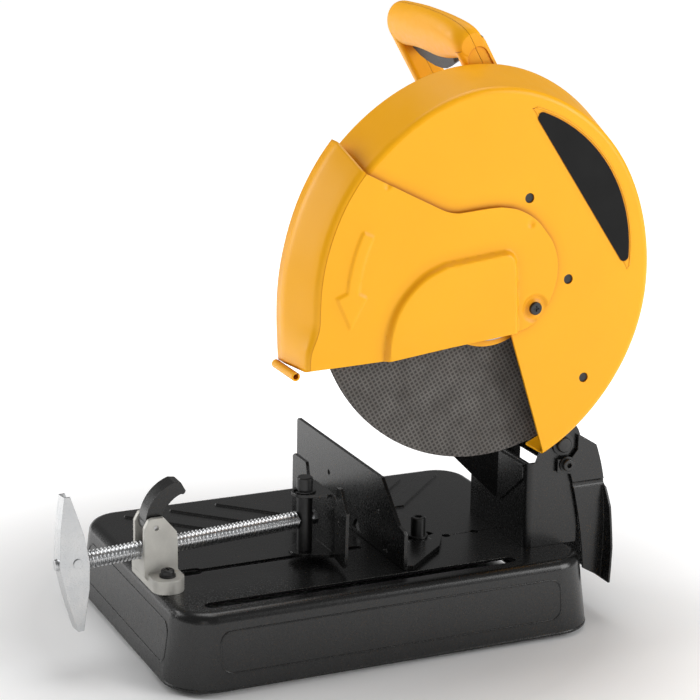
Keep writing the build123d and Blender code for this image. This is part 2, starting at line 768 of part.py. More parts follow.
with BuildPart() as motor_housing:
    with BuildSketch(side(motor_left)):
        with Locations(motor_at):
            Circle(motor_radius)
            Circle(motor_radius - shell, mode=Mode.SUBTRACT)
    extrude(amount=case_left - motor_left)
    with BuildSketch(side(case_left - 6)):
        with Locations(motor_at):
            Circle(motor_radius + 4)
            Circle(motor_radius - shell, mode=Mode.SUBTRACT)
    extrude(amount=6)
    brush_x = -70.0
    with BuildSketch(Plane(origin=(brush_x, base_front + motor_d, motor_z), x_dir=(1, 0, 0),
                           z_dir=(0, -1, 0))):
        Circle(8)
    extrude(amount=motor_radius + 20, both=True, mode=Mode.SUBTRACT)
    for angle in range(200, 345, 24):
        with BuildSketch(side(10)):
            with Locations(about(motor_d, motor_z, motor_radius, angle)):
                Circle(5)
        extrude(amount=16, mode=Mode.SUBTRACT)
motor_housing.part.label = "motor_housing"
export_step(motor_housing.part, "parts/motor_housing.step")

with BuildPart() as end_cap:
    with BuildSketch(side(motor_left)):
        with Locations(motor_at):
            Circle(motor_radius)
    extrude(amount=-34)
    fillet(end_cap.edges().filter_by(GeomType.CIRCLE).sort_by(Axis.X)[0], 16)
    with BuildSketch(side(motor_left)):
        with Locations(motor_at):
            Circle(motor_radius - shell)
    extrude(amount=-28, taper=18, mode=Mode.SUBTRACT)
    with BuildSketch(side(motor_left - 30)):
        with Locations(motor_at):
            Circle(15)
            Circle(11, mode=Mode.SUBTRACT)
    extrude(amount=22)
    for angle in range(0, 360, 30):
        with BuildSketch(side(motor_left - 40)):
            with Locations(about(motor_d, motor_z, 27, angle)):
                Rectangle(16, 3.4, rotation=angle)
        extrude(amount=20, mode=Mode.SUBTRACT)
    with BuildSketch(Plane(origin=(motor_left - 14, base_front + motor_d, motor_z - 14),
                           x_dir=(1, 0, 0), z_dir=(0, 1, 0))):
        Circle(8)
    extrude(amount=80, mode=Mode.SUBTRACT)
end_cap.part.label = "end_cap"
export_step(end_cap.part, "parts/end_cap.step")

with BuildPart() as cord_gland:
    with BuildSketch(Plane(origin=(motor_left - 14, base_front + motor_d + 44, motor_z - 14),
                           x_dir=(1, 0, 0), z_dir=(0, 1, 0))):
        Circle(8)
        Circle(4.2, mode=Mode.SUBTRACT)
    extrude(amount=8)
    with BuildSketch(Plane(origin=(motor_left - 14, base_front + motor_d + 52, motor_z - 14),
                           x_dir=(1, 0, 0), z_dir=(0, 1, 0))):
        Circle(10)
        Circle(4.2, mode=Mode.SUBTRACT)
    extrude(amount=9, taper=8)
cord_gland.part.label = "cord_gland"
export_step(cord_gland.part, "parts/cord_gland.step")

with BuildPart() as field_stator:
    with BuildSketch(side(-40)):
        with Locations(motor_at):
            Circle(motor_radius - shell)
            Circle(30.5, mode=Mode.SUBTRACT)
    extrude(amount=56)
field_stator.part.label = "field_stator"
export_step(field_stator.part, "parts/field_stator.step")

with BuildPart() as armature_shaft:
    with BuildSketch(side(motor_left - 22)):
        with Locations(motor_at):
            Circle(4)
    extrude(amount=22)
    with BuildSketch(side(motor_left)):
        with Locations(motor_at):
            Circle(6)
    extrude(amount=81 - motor_left)
armature_shaft.part.label = "armature_shaft"
export_step(armature_shaft.part, "parts/armature_shaft.step")

with BuildPart() as armature_core:
    with BuildSketch(side(-42)):
        with Locations(motor_at):
            Circle(29.5)
            Circle(6, mode=Mode.SUBTRACT)
        for angle in range(0, 360, 30):
            with Locations(about(motor_d, motor_z, 28, angle)):
                Rectangle(6, 3, rotation=angle, mode=Mode.SUBTRACT)
    extrude(amount=60)
armature_core.part.label = "armature_core"
export_step(armature_core.part, "parts/armature_core.step")

with BuildPart() as commutator:
    with BuildSketch(side(brush_x - 10)):
        with Locations(motor_at):
            Circle(14)
            Circle(6, mode=Mode.SUBTRACT)
    extrude(amount=20)
commutator.part.label = "commutator"
export_step(commutator.part, "parts/commutator.step")

with BuildPart() as cooling_fan:
    with BuildSketch(side(20)):
        with Locations(motor_at):
            Circle(44)
            Circle(6, mode=Mode.SUBTRACT)
    extrude(amount=2)
    with BuildSketch(side(22)):
        with Locations(motor_at):
            Circle(11)
            Circle(6, mode=Mode.SUBTRACT)
        for angle in range(0, 360, 30):
            with Locations(about(motor_d, motor_z, 31, angle)):
                Rectangle(25, 2, rotation=angle)
    extrude(amount=10)
cooling_fan.part.label = "cooling_fan"
export_step(cooling_fan.part, "parts/cooling_fan.step")

with BuildPart() as ball_bearings:
    with BuildSketch(side(motor_left - 20)):
        with Locations(motor_at):
            Circle(11)
            Circle(4 + running, mode=Mode.SUBTRACT)
    extrude(amount=7)
    with BuildSketch(side(41)):
        with Locations(motor_at):
            Circle(14)
            Circle(6 + running, mode=Mode.SUBTRACT)
    extrude(amount=8)
    for start, width, inner, outer in ((46.2, 11, 7.5, 17.5), (100, 14, 10, 23.5)):
        with BuildSketch(side(start)):
            with Locations(spindle_at):
                Circle(outer)
                Circle(inner + running, mode=Mode.SUBTRACT)
        extrude(amount=width)
ball_bearings.part.label = "ball_bearings"
export_step(ball_bearings.part, "parts/ball_bearings.step")

brush_gap = 0.4

with BuildPart() as carbon_brushes:
    for direction in (-1, 1):
        with BuildSketch(Plane(origin=(brush_x, base_front + motor_d
                                       + direction * (14 + brush_gap), motor_z),
                               x_dir=(1, 0, 0), z_dir=(0, direction, 0))):
            Rectangle(8, 8)
        extrude(amount=20)
carbon_brushes.part.label = "carbon_brushes"
export_step(carbon_brushes.part, "parts/carbon_brushes.step")

with BuildPart() as brush_holders:
    for direction in (-1, 1):
        with BuildSketch(Plane(origin=(brush_x, base_front + motor_d + direction * 17, motor_z),
                               x_dir=(1, 0, 0), z_dir=(0, direction, 0))):
            Circle(8)
            Rectangle(8, 8, mode=Mode.SUBTRACT)
        extrude(amount=motor_radius - 19)
    for direction in (-1, 1):
        with BuildSketch(Plane(origin=(brush_x, base_front + motor_d
                                       + direction * (motor_radius - 2), motor_z),
                               x_dir=(1, 0, 0), z_dir=(0, direction, 0))):
            Circle(7.9)
        extrude(amount=3.5)
        with BuildSketch(Plane(origin=(brush_x, base_front + motor_d
                                       + direction * (motor_radius + 1.5), motor_z),
                               x_dir=(1, 0, 0), z_dir=(0, direction, 0))):
            Rectangle(11, 2)
        extrude(amount=-1.2, mode=Mode.SUBTRACT)
brush_holders.part.label = "brush_holders"
export_step(brush_holders.part, "parts/brush_holders.step")

# ---- gears ----
def gear_outline(teeth, phase, backlash=0.35):
    """The points of a spur gear with involute flanks, one tooth centred on the phase angle."""
    pitch_r = gear_module * teeth / 2
    base_r = pitch_r * math.cos(math.radians(20))
    tip_r = pitch_r + 0.8 * gear_module
    root_r = pitch_r - 1.15 * gear_module
    inv_pitch = math.tan(math.radians(20)) - math.radians(20)
    half = math.pi / (2 * teeth) - backlash / (2 * pitch_r)
    flank = []
    for k in range(4):
        r = max(base_r, root_r + 0.2) + (tip_r - max(base_r, root_r + 0.2)) * k / 3
        pressure = math.acos(min(1.0, base_r / r))
        flank.append((r, half + inv_pitch - (math.tan(pressure) - pressure)))
    points = []
    for n in range(teeth):
        centre = math.radians(phase) + 2 * math.pi * n / teeth
        start = flank[0][1]
        rising = [(root_r, -start - 0.25 * math.pi / teeth * 0.4)] + [(r, -a) for r, a in flank]
        falling = [(r, a) for r, a in reversed(flank)] + [(root_r, start + 0.1 * math.pi / teeth)]
        for r, a in rising + falling:
            points.append((r * math.cos(centre + a), r * math.sin(centre + a)))
    return points


gear_left, gear_width = 63.0, 16.0

with BuildPart() as spindle_gear:
    with BuildSketch(side(gear_left)):
        with Locations(spindle_at):
            Polygon(*gear_outline(gear_teeth, motor_angle), align=None)
            Circle(11, mode=Mode.SUBTRACT)
            with PolarLocations(34, 8, 250):
                Circle(4.2, mode=Mode.SUBTRACT)
    extrude(amount=gear_width)
spindle_gear.part.label = "spindle_gear"
export_step(spindle_gear.part, "parts/spindle_gear.step")

with BuildPart() as pinion:
    with BuildSketch(side(gear_left - 1)):
        with Locations(motor_at):
            Polygon(*gear_outline(pinion_teeth, motor_angle + 180 + 180 / pinion_teeth),
                    align=None)
            Circle(6, mode=Mode.SUBTRACT)
    extrude(amount=gear_width + 2)
pinion.part.label = "pinion"
export_step(pinion.part, "parts/pinion.step")

# ---- spindle and wheel ----
wheel_outer = wheel_x + wheel_width
flange_radius = 38.0

with BuildPart() as spindle:
    for start, end, radius in ((46.4, 58, 7.5), (58, 99.7, 11), (99.7, 114.3, 10),
                               (114.3, 121, 15), (121, wheel_outer + 6, arbor_radius)):
        with BuildSketch(side(start)):
            with Locations(spindle_at):
                Circle(radius)
        extrude(amount=end - start)
    with BuildSketch(side(122)):
        with Locations(spindle_at):
            Circle(5)
    extrude(amount=40, mode=Mode.SUBTRACT)
spindle.part.label = "spindle"
export_step(spindle.part, "parts/spindle.step")

with BuildPart() as inner_flange:
    with BuildSketch(side(121)):
        with Locations(spindle_at):
            Circle(flange_radius)
            Circle(arbor_radius, mode=Mode.SUBTRACT)
    extrude(amount=wheel_x - 121)
    with BuildSketch(side(wheel_x)):
        with Locations(spindle_at):
            Circle(27)
            Circle(arbor_radius, mode=Mode.SUBTRACT)
    extrude(amount=-1, mode=Mode.SUBTRACT)
inner_flange.part.label = "inner_flange"
export_step(inner_flange.part, "parts/inner_flange.step")

with BuildPart() as abrasive_wheel:
    with BuildSketch(side(wheel_x)):
        with Locations(spindle_at):
            Circle(wheel_radius)
            Circle(arbor_radius, mode=Mode.SUBTRACT)
    extrude(amount=wheel_width)
abrasive_wheel.part.label = "abrasive_wheel"
export_step(abrasive_wheel.part, "parts/abrasive_wheel.step")

with BuildPart() as outer_flange:
    with BuildSketch(side(wheel_outer)):
        with Locations(spindle_at):
            Circle(flange_radius)
            Circle(arbor_radius, mode=Mode.SUBTRACT)
    extrude(amount=6, taper=20)
outer_flange.part.label = "outer_flange"
export_step(outer_flange.part, "parts/outer_flange.step")

with BuildPart() as arbor_bolt:
    with BuildSketch(side(122)):
        with Locations(spindle_at):
            Circle(5)
    extrude(amount=wheel_outer + 8.5 - 122)
    with BuildSketch(side(wheel_outer + 6)):
        with Locations(spindle_at):
            Circle(15.5)
    extrude(amount=2.5)
    with BuildSketch(side(wheel_outer + 8.5)):
        with Locations(spindle_at):
            RegularPolygon(9, 6)
    extrude(amount=5.5)
arbor_bolt.part.label = "arbor_bolt"
export_step(arbor_bolt.part, "parts/arbor_bolt.step")

with BuildPart() as spindle_lock:
    with BuildSketch(side(24)):
        with Locations(lock_at):
            Circle(3.5)
    extrude(amount=gear_left - gap - 24)
    with BuildSketch(side(16)):
        with Locations(lock_at):
            Circle(8)
    extrude(amount=8)
    fillet(spindle_lock.edges().filter_by(GeomType.CIRCLE).sort_by(Axis.X)[0], 2)
spindle_lock.part.label = "spindle_lock"
export_step(spindle_lock.part, "parts/spindle_lock.step")

# ---- fixed guard ----
guard_far, guard_near = 98.0, 158.0
guard_wall = 2.5
guard_round = 6.5                        # soft shoulder of the near rim
# rim radii about the spindle, from the rear tip round over the top to the front
rim_angles = (-70, -45, -15, 15, 45, 75, 95, 119, 150)
near_rim = (190, 181, 177, 178.5, 188, 196.5, 199, 192, 189)
far_rim = (192, 190.5, 192, 195, 206, 214, 212.5, 205, 199)
cut_corner = (331, spindle_z)            # where the lower cut edge starts


def guard_face(radii, inset, spread):
    """One end of the guard: its rim, closed through the corner of the cut-out."""
    rim = [spindle_polar(r - inset, a) for r, a in zip(radii, rim_angles)]
    first = spindle_polar(radii[0] - inset, rim_angles[0] - spread)
    last = spindle_polar(radii[-1] - inset, rim_angles[-1] + spread)
    corner = spindle_polar(spread * 1.2, 220) if spread else cut_corner
    if spread:
        rim = [first] + rim + [last]
    with BuildLine() as outline:
        Spline(*rim)
        Polyline(rim[-1], corner, rim[0])
    make_face(outline.edges())


with BuildPart() as guard_void:
    with BuildSketch(side(guard_far + guard_wall)):
        guard_face(far_rim, guard_wall + 0.4, 12)
    with BuildSketch(side(guard_near - guard_wall)):
        guard_face(near_rim, guard_wall - 0.4, 12)
    loft(ruled=True)
    void_rim = guard_void.faces().sort_by(Axis.X)[-1]
    fillet(void_rim.edges().sort_by(Edge.length)[-1:], guard_round - guard_wall)

with BuildPart() as fixed_guard:
    with BuildSketch(side(guard_far)):
        guard_face(far_rim, 0, 0)
    with BuildSketch(side(guard_near)):
        guard_face(near_rim, 0, 0)
    loft(ruled=True)
    guard_rim = fixed_guard.faces().sort_by(Axis.X)[-1]
    fillet(guard_rim.edges().sort_by(Edge.length)[-1:], guard_round)
    add(guard_void.part, mode=Mode.SUBTRACT)
    with BuildSketch(side(guard_far)):
        with Locations(spindle_at):
            Circle(64)
    extrude(amount=guard_wall)
    with BuildSketch(side(guard_far - 1)):
        with Locations(spindle_at):
            Circle(nose_radius)
    extrude(amount=10, mode=Mode.SUBTRACT)
    hub_bore = 49.0
    with BuildSketch(side(guard_near + 1)):
        with Locations(spindle_at):
            Circle(hub_bore)
    extrude(amount=-10, mode=Mode.SUBTRACT)
    with BuildSketch(side(guard_far - 1)):
        with Locations(pivot_at):
            Circle(52)
    extrude(amount=22.5, mode=Mode.SUBTRACT)
    with BuildSketch(side(guard_near + 1)):
        with Locations((361.6, 467.9), (408.9, 382.3), (431.6, 277.9)):
            Circle(5)
    extrude(amount=-10, mode=Mode.SUBTRACT)
fixed_guard.part.label = "fixed_guard"
export_step(fixed_guard.part, "parts/fixed_guard.step")

with BuildPart() as label_plate:
    with BuildSketch(side(guard_near)) as label:
        with BuildLine():
            ThreePointArc((360, 556), (438, 508), (476, 386))
            Line((476, 386), (360, 556))
        make_face()
        fillet(label.vertices(), 5)
    extrude(amount=0.8)
label_plate.part.label = "label_plate"
export_step(label_plate.part, "parts/label_plate.step")

# ---- moving front guard ----
front_far, front_band, front_near = 102.0, 117.0, 162.3
front_sheet = 1.8
front_angles = (138.3, 160, 181, 188, 192, 197.5)
front_rim = (193, 190.5, 190.5, 193, 202, 209)
band_angles = (135.3, 150, 165, 180, 190, 197.6)
band_rim = (212, 208, 205.5, 206.5, 209.5, 216)


def rim_strip(radii, angles):
    """A thin strip of sheet along a rim."""
    outer = [spindle_polar(r, a) for r, a in zip(radii, angles)]
    inner = [spindle_polar(r - front_sheet, a) for r, a in zip(radii, angles)]
    with BuildLine() as outline:
        Spline(*outer)
        Line(outer[-1], inner[-1])
        Spline(*reversed(inner))
        Line(inner[0], outer[0])
    make_face(outline.edges())


curl_at = (118.5, 309.6)

with BuildPart() as front_guard:
    with BuildSketch(side(front_far)):
        rim_strip(band_rim, band_angles)
    extrude(amount=front_band - front_far)
    with BuildSketch(side(front_band)):
        rim_strip(band_rim, band_angles)
    with BuildSketch(side(front_near)):
        rim_strip(front_rim, front_angles)
    loft(ruled=True)
    with BuildSketch(side(front_near - front_sheet)):
        rim = [spindle_polar(r - 0.3, a) for r, a in zip(front_rim, front_angles)]
        with BuildLine():
            Spline(*rim)
            Polyline(rim[-1], (206, 319), (276, 327.5), (343.5, 334), (369, 341))
            ThreePointArc((369, 341), (393, 398), (330, 462))
            ThreePointArc((330, 462), (300, 458), (274, 461))
            Polyline((274, 461), (250, 472), rim[0])
        make_face()
    extrude(amount=front_sheet)
    with BuildSketch(side(front_far)):
        with Locations(curl_at):
            Circle(4.4)
            Circle(2.6, mode=Mode.SUBTRACT)
    extrude(amount=48)
front_guard.part.label = "front_guard"
export_step(front_guard.part, "parts/front_guard.step")

with BuildPart() as guard_hub:
    with BuildSketch(side(146)):
        with Locations(spindle_at):
            Circle(60)
            Circle(44.5, mode=Mode.SUBTRACT)
    extrude(amount=2)
    with BuildSketch(side(148)):
        with Locations(spindle_at):
            Circle(hub_bore - gap)
            Circle(44.5, mode=Mode.SUBTRACT)
    extrude(amount=front_near - front_sheet - 148)
guard_hub.part.label = "guard_hub"
export_step(guard_hub.part, "parts/guard_hub.step")

with BuildPart() as guard_spring:
    with BuildSketch(side(148.6)):
        with Locations(spindle_at):
            Circle(54)
            Circle(50, mode=Mode.SUBTRACT)
    extrude(amount=6)
guard_spring.part.label = "guard_spring"
export_step(guard_spring.part, "parts/guard_spring.step")

with BuildPart() as guard_screw:
    with BuildSketch(side(front_near)):
        with Locations((370, 357)):
            Circle(6.5)
    extrude(amount=3)
    fillet(guard_screw.edges().filter_by(GeomType.CIRCLE).sort_by(Axis.X)[-1], 1.2)
    with BuildSketch(side(front_near + 3)):
        with Locations((370, 357)):
            Rectangle(6, 1.4)
            Rectangle(1.4, 6)
    extrude(amount=-1.5, mode=Mode.SUBTRACT)
guard_screw.part.label = "guard_screw"
export_step(guard_screw.part, "parts/guard_screw.step")

# ---- D-handle ----
grip_front, grip_back = 18.5, 13.0       # depth of the grip before and behind its seam
leg_front, leg_back = 18.5, 14.0         # the same for the legs
leg_round = 4.5
leg_spans = ((-70.0, -57.0), (79.0, 90.0))
handle_foot = -165.0
seam = 0.3                               # open joint between the two halves
cavity_half = 9.0
slot_half = 8.4                          # the trigger's slot
trigger_pivot = (-46.0, 15.5)
screw_seat = 10.0
handle_screw_places = ((-63.5, 30), (-63.5, -60), (84.5, 20), (84.5, -60))
# x, underside, crest and share of the full depth of each cross-section of the grip
grip_sections = ((-70.4, 3, 35, 0.9), (-66.5, 2, 45, 0.98), (-58, 2, 49.5, 1.0), (-31, 4, 52.2, 1.0),
                 (0, 2.5, 52.9, 1.0), (16, 0.5, 52.5, 1.0), (33, 1, 51.3, 1.0), (51, 4, 49.3, 1.0),
                 (70, 8, 45.5, 1.0), (82, 9, 41, 0.98), (87.5, 10, 36.5, 0.9), (90.4, 13, 32, 0.75))


def grip_outline(low, high, share):
    """Points round one cross-section of the grip, as depth and height."""
    middle = (low + high) / 2
    half = (high - low) / 2
    points = []
    for step in range(16):
        cos, sin = math.cos(step * math.pi / 8), math.sin(step * math.pi / 8)
        power = 0.95 if sin > 0.01 else 0.7
        reach = share * (grip_front if cos > 0 else grip_back)
        forward = reach * math.copysign(abs(cos) ** power, cos)
        up = middle + half * math.copysign(abs(sin) ** power, sin)
        points.append((handle_d - forward * _hc - up * _hs, handle_z - forward * _hs + up * _hc))
    return points


# the switch cavity, the trigger's slot, the screw holes and the room for motor and gear case
with BuildPart() as handle_voids:
    with BuildSketch(handle_plane(-cavity_half)):
        with Locations((2, 29)):
            Rectangle(108, 24)
    extrude(amount=2 * cavity_half)
    with BuildSketch(handle_plane(-slot_half)):
        with Locations((-3, 5)):
            Rectangle(102, 30)
    extrude(amount=2 * slot_half)
    with BuildSketch(handle_plane(-screw_seat)):
        with Locations(*handle_screw_places):
            Circle(2.2)
    extrude(amount=2 * screw_seat)
    with BuildSketch(handle_plane(-screw_seat)):
        with Locations(*handle_screw_places):
            Circle(4.2)
    extrude(amount=-10)
    with BuildSketch(side(-120)):
        with Locations(motor_at):
            Circle(motor_radius)
    extrude(amount=case_left - 6 + 120)
    with BuildSketch(side(case_left - 6)):
        with Locations(spindle_at):
            Circle(57)
        with Locations(motor_at):
            Circle(56)
        make_hull()
    extrude(amount=66)
    with BuildSketch(side(leg_spans[1][1] - 1.2)):
        with Locations((handle_d + 67 * _hs - 2 * _hc, handle_z - 67 * _hc - 2 * _hs)):
            SlotOverall(170, 23, rotation=90 + handle_tilt)
    extrude(amount=10)

with BuildPart() as handle_loop:
    for grip_x, low, high, share in grip_sections:
        with BuildSketch(side(grip_x)):
            with BuildLine():
                Spline(*grip_outline(low, high, share), periodic=True)
            make_face()
    loft()
    with BuildPart(mode=Mode.PRIVATE) as legs:
        with BuildSketch(handle_plane(-leg_back)):
            for inner, outer in leg_spans:
                with Locations(((inner + outer) / 2, (handle_foot + 22) / 2)):
                    Rectangle(outer - inner, 22 - handle_foot)
        extrude(amount=leg_back + leg_front)
        fillet(legs.edges().filter_by(Axis((0, 0, 0), (0, -_hs, _hc))), leg_round)
    add(legs.part)
    add(handle_voids.part, mode=Mode.SUBTRACT)

with BuildPart() as handle_front:
    with BuildSketch(handle_plane(seam / 2)):
        Rectangle(400, 500)
    extrude(amount=40)
    add(handle_loop.part, mode=Mode.INTERSECT)
handle_front.part.label = "handle_front"
export_step(handle_front.part, "parts/handle_front.step")

with BuildPart() as handle_rear:
    with BuildSketch(handle_plane(-seam / 2)):
        Rectangle(400, 500)
    extrude(amount=-40)
    add(handle_loop.part, mode=Mode.INTERSECT)
handle_rear.part.label = "handle_rear"
export_step(handle_rear.part, "parts/handle_rear.step")

with BuildPart() as housing_screws:
    with BuildSketch(handle_plane(-screw_seat)):
        with Locations(*handle_screw_places):
            Circle(2.2)
    extrude(amount=2 * screw_seat)
    with BuildSketch(handle_plane(-screw_seat)):
        with Locations(*handle_screw_places):
            Circle(4.2)
    extrude(amount=-2.5)
    with BuildSketch(side(case_right - 10)):
        with Locations(*cover_screw_places):
            Circle(screw_root)
    extrude(amount=16)
housing_screws.part.label = "housing_screws"
export_step(housing_screws.part, "parts/housing_screws.step")

with BuildPart() as trigger:
    with BuildSketch(handle_plane(-8)) as blade:
        Polygon((-51, 19), (-53, 0), (-44, -8), (-31, -13.5), (-16, -16.5), (-1, -17),
                (12, -15), (28, -9.5), (39, -4), (41, 2), (41, 12), (38, 18), align=None)
        fillet(blade.vertices().sort_by(Axis.Y)[:2], 3)
        with Locations(trigger_pivot):
            Circle(2.5 + running, mode=Mode.SUBTRACT)
    extrude(amount=16)
trigger.part.label = "trigger"
export_step(trigger.part, "parts/trigger.step")

with BuildPart() as trigger_pin:
    with BuildSketch(handle_plane(-slot_half)):
        with Locations(trigger_pivot):
            Circle(2.5)
    extrude(amount=2 * slot_half)
trigger_pin.part.label = "trigger_pin"
export_step(trigger_pin.part, "parts/trigger_pin.step")

with BuildPart() as power_switch:
    with BuildSketch(handle_plane(-8.5)):
        with Locations((30, 34.5)):
            Rectangle(42, 12)
    extrude(amount=17)
power_switch.part.label = "power_switch"
export_step(power_switch.part, "parts/power_switch.step")

with BuildPart() as lock_spring:
    with BuildSketch(side(29.5)):
        with Locations(lock_at):
            Circle(6)
            Circle(4.4, mode=Mode.SUBTRACT)
    extrude(amount=case_left - 29.5)
lock_spring.part.label = "lock_spring"
export_step(lock_spring.part, "parts/lock_spring.step")
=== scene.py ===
"""The looks of an abrasive chop saw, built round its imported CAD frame."""
import json
import math

import bmesh
import bpy
import numpy as np
from mathutils import Matrix, Vector


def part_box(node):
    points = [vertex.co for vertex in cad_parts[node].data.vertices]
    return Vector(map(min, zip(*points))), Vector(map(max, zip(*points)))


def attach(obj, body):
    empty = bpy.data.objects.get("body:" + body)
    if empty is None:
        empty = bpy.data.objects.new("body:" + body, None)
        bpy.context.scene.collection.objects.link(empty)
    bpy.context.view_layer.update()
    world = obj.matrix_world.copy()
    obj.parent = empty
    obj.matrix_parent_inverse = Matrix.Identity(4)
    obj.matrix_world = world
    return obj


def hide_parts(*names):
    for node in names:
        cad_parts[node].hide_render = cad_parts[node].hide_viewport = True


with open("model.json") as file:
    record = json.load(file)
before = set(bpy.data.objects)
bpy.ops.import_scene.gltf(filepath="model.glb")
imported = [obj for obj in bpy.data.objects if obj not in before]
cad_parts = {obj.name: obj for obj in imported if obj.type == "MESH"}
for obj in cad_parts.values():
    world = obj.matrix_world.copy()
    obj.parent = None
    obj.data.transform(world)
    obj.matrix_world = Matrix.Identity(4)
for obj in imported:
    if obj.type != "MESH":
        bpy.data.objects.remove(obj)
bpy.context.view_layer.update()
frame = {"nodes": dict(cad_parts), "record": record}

MM = 0.001
BASE_FLARE = 10 * MM


def centre(node):
    lo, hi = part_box(node)
    return (lo + hi) / 2


# ---- places, all from the frame ----
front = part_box("base_pan")[0].y + BASE_FLARE      # Y of the table's front edge
spindle = centre("abrasive_wheel")
pivot = centre("pivot_pin")
SPINDLE_D = (spindle.y - front) / MM
SPINDLE_Z = spindle.z / MM


def at(x, depth, height):
    """A point from millimetres: x, depth behind the table's front edge, height above the floor."""
    return Vector((x * MM, front + depth * MM, height * MM))


def polar(x, radius, degrees):
    """A point about the spindle: x, radius in millimetres and the angle from the rear."""
    a = math.radians(degrees)
    return Vector((x * MM, spindle.y + radius * MM * math.cos(a),
                   spindle.z + radius * MM * math.sin(a)))


# ---- material helpers ----
class Nodes:
    """A small builder of one material's node tree, in object coordinates."""

    def __init__(self, name):
        self.material = bpy.data.materials.new(name)
        self.material.use_nodes = True
        self.tree = self.material.node_tree
        self.bsdf = self.tree.nodes["Principled BSDF"]
        self.coords = self.add("ShaderNodeTexCoord").outputs["Object"]

    def add(self, kind, **settings):
        node = self.tree.nodes.new(kind)
        for key, value in settings.items():
            setattr(node, key, value)
        return node

    def feed(self, socket, value):
        if isinstance(value, bpy.types.NodeSocket):
            self.tree.links.new(value, socket)
        elif value is not None:
            socket.default_value = value

    def noise(self, scale, detail=3.0, rough=0.55, stretch=None):
        node = self.add("ShaderNodeTexNoise")
        vector = self.coords
        if stretch:
            mapping = self.add("ShaderNodeMapping")
            self.feed(mapping.inputs["Vector"], vector)
            mapping.inputs["Scale"].default_value = stretch
            vector = mapping.outputs["Vector"]
        self.feed(node.inputs["Vector"], vector)
        node.inputs["Scale"].default_value = scale
        node.inputs["Detail"].default_value = detail
        node.inputs["Roughness"].default_value = rough
        return node.outputs["Fac"]

    def math(self, operation, a, b=None, c=None):
        node = self.add("ShaderNodeMath", operation=operation)
        for socket, value in zip(node.inputs, (a, b, c)):
            self.feed(socket, value)
        return node.outputs[0]

    def ramp(self, fac, stops):
        """Colours or greys along a factor: stops are (place, colour)."""
        node = self.add("ShaderNodeValToRGB")
        self.feed(node.inputs["Fac"], fac)
        elements = node.color_ramp.elements
        while len(elements) < len(stops):
            elements.new(0.5)
        for element, (place, colour) in zip(elements, stops):
            element.position = place
            element.color = (*colour, 1) if isinstance(colour, tuple) else (colour,) * 3 + (1,)
        return node.outputs["Color"]

    def span(self, fac, low, high):
        """The factor's 0.3..0.7 stretched to low..high."""
        node = self.add("ShaderNodeMapRange")
        self.feed(node.inputs["Value"], fac)
        node.inputs["From Min"].default_value = 0.3
        node.inputs["From Max"].default_value = 0.7
        node.inputs["To Min"].default_value = low
        node.inputs["To Max"].default_value = high
        return node.outputs["Result"]

    def mix(self, fac, a, b):
        node = self.add("ShaderNodeMix", data_type="RGBA")
        self.feed(node.inputs[0], fac)
        for socket, value in ((node.inputs[6], a), (node.inputs[7], b)):
            self.feed(socket, (*value, 1) if isinstance(value, tuple) else value)
        return node.outputs[2]

    def edge(self, radius, low=0.02, high=0.12):
        """1 on sharp convex edges and 0 on flats, from a rounded normal."""
        bevel = self.add("ShaderNodeBevel", samples=6)
        bevel.inputs["Radius"].default_value = radius
        geometry = self.add("ShaderNodeNewGeometry")
        dot = self.add("ShaderNodeVectorMath", operation="DOT_PRODUCT")
        self.feed(dot.inputs[0], bevel.outputs["Normal"])
        self.feed(dot.inputs[1], geometry.outputs["Normal"])
        away = self.math("SUBTRACT", 1.0, dot.outputs["Value"])
        node = self.add("ShaderNodeMapRange")
        self.feed(node.inputs["Value"], away)
        node.inputs["From Min"].default_value = low
        node.inputs["From Max"].default_value = high
        return node.outputs["Result"]

    def crease(self, tone, shade_tone, reach):
        """Painted shade: the tone, going over to a darker one inside folds and corners, where
        ambient occlusion finds them.
        """
        node = self.add("ShaderNodeAmbientOcclusion", samples=8)
        node.inputs["Distance"].default_value = reach
        depth = self.add("ShaderNodeMapRange")
        self.feed(depth.inputs["Value"], node.outputs["AO"])
        depth.inputs["From Min"].default_value = 0.45
        depth.inputs["From Max"].default_value = 0.97
        return self.mix(depth.outputs["Result"], shade_tone, tone)

    def surface(self, colour, rough, metallic=0.0, bump=None, height=0.0002, strength=0.3,
                round_edges=None):
        self.feed(self.bsdf.inputs["Base Color"],
                  (*colour, 1) if isinstance(colour, tuple) else colour)
        self.feed(self.bsdf.inputs["Roughness"], rough)
        self.feed(self.bsdf.inputs["Metallic"], metallic)
        normal = None
        if round_edges:
            bevel = self.add("ShaderNodeBevel", samples=6)
            bevel.inputs["Radius"].default_value = round_edges
            normal = bevel.outputs["Normal"]
        if bump is not None:
            node = self.add("ShaderNodeBump")
            node.inputs["Strength"].default_value = strength
            node.inputs["Distance"].default_value = height
            self.feed(node.inputs["Height"], bump)
            if normal is not None:
                self.feed(node.inputs["Normal"], normal)
            normal = node.outputs["Normal"]
        if normal is not None:
            self.feed(self.bsdf.inputs["Normal"], normal)
        return self.material


def yellow_paint(name):
    m = Nodes(name)
    tone = m.ramp(m.noise(7, 4), [(0.3, (0.95, 0.42, 0.003)), (0.7, (0.98, 0.45, 0.004))])
    # painted shade: the paint goes darker orange in folds and corners
    tone = m.crease(tone, (0.60, 0.17, 0.002), 0.014)
    rough = m.span(m.noise(60, 4), 0.30, 0.42)
    m.bsdf.inputs["Specular IOR Level"].default_value = 0.30
    return m.surface(tone, rough, bump=m.noise(900, 2), height=0.00012, strength=0.12,
                     round_edges=0.0009)


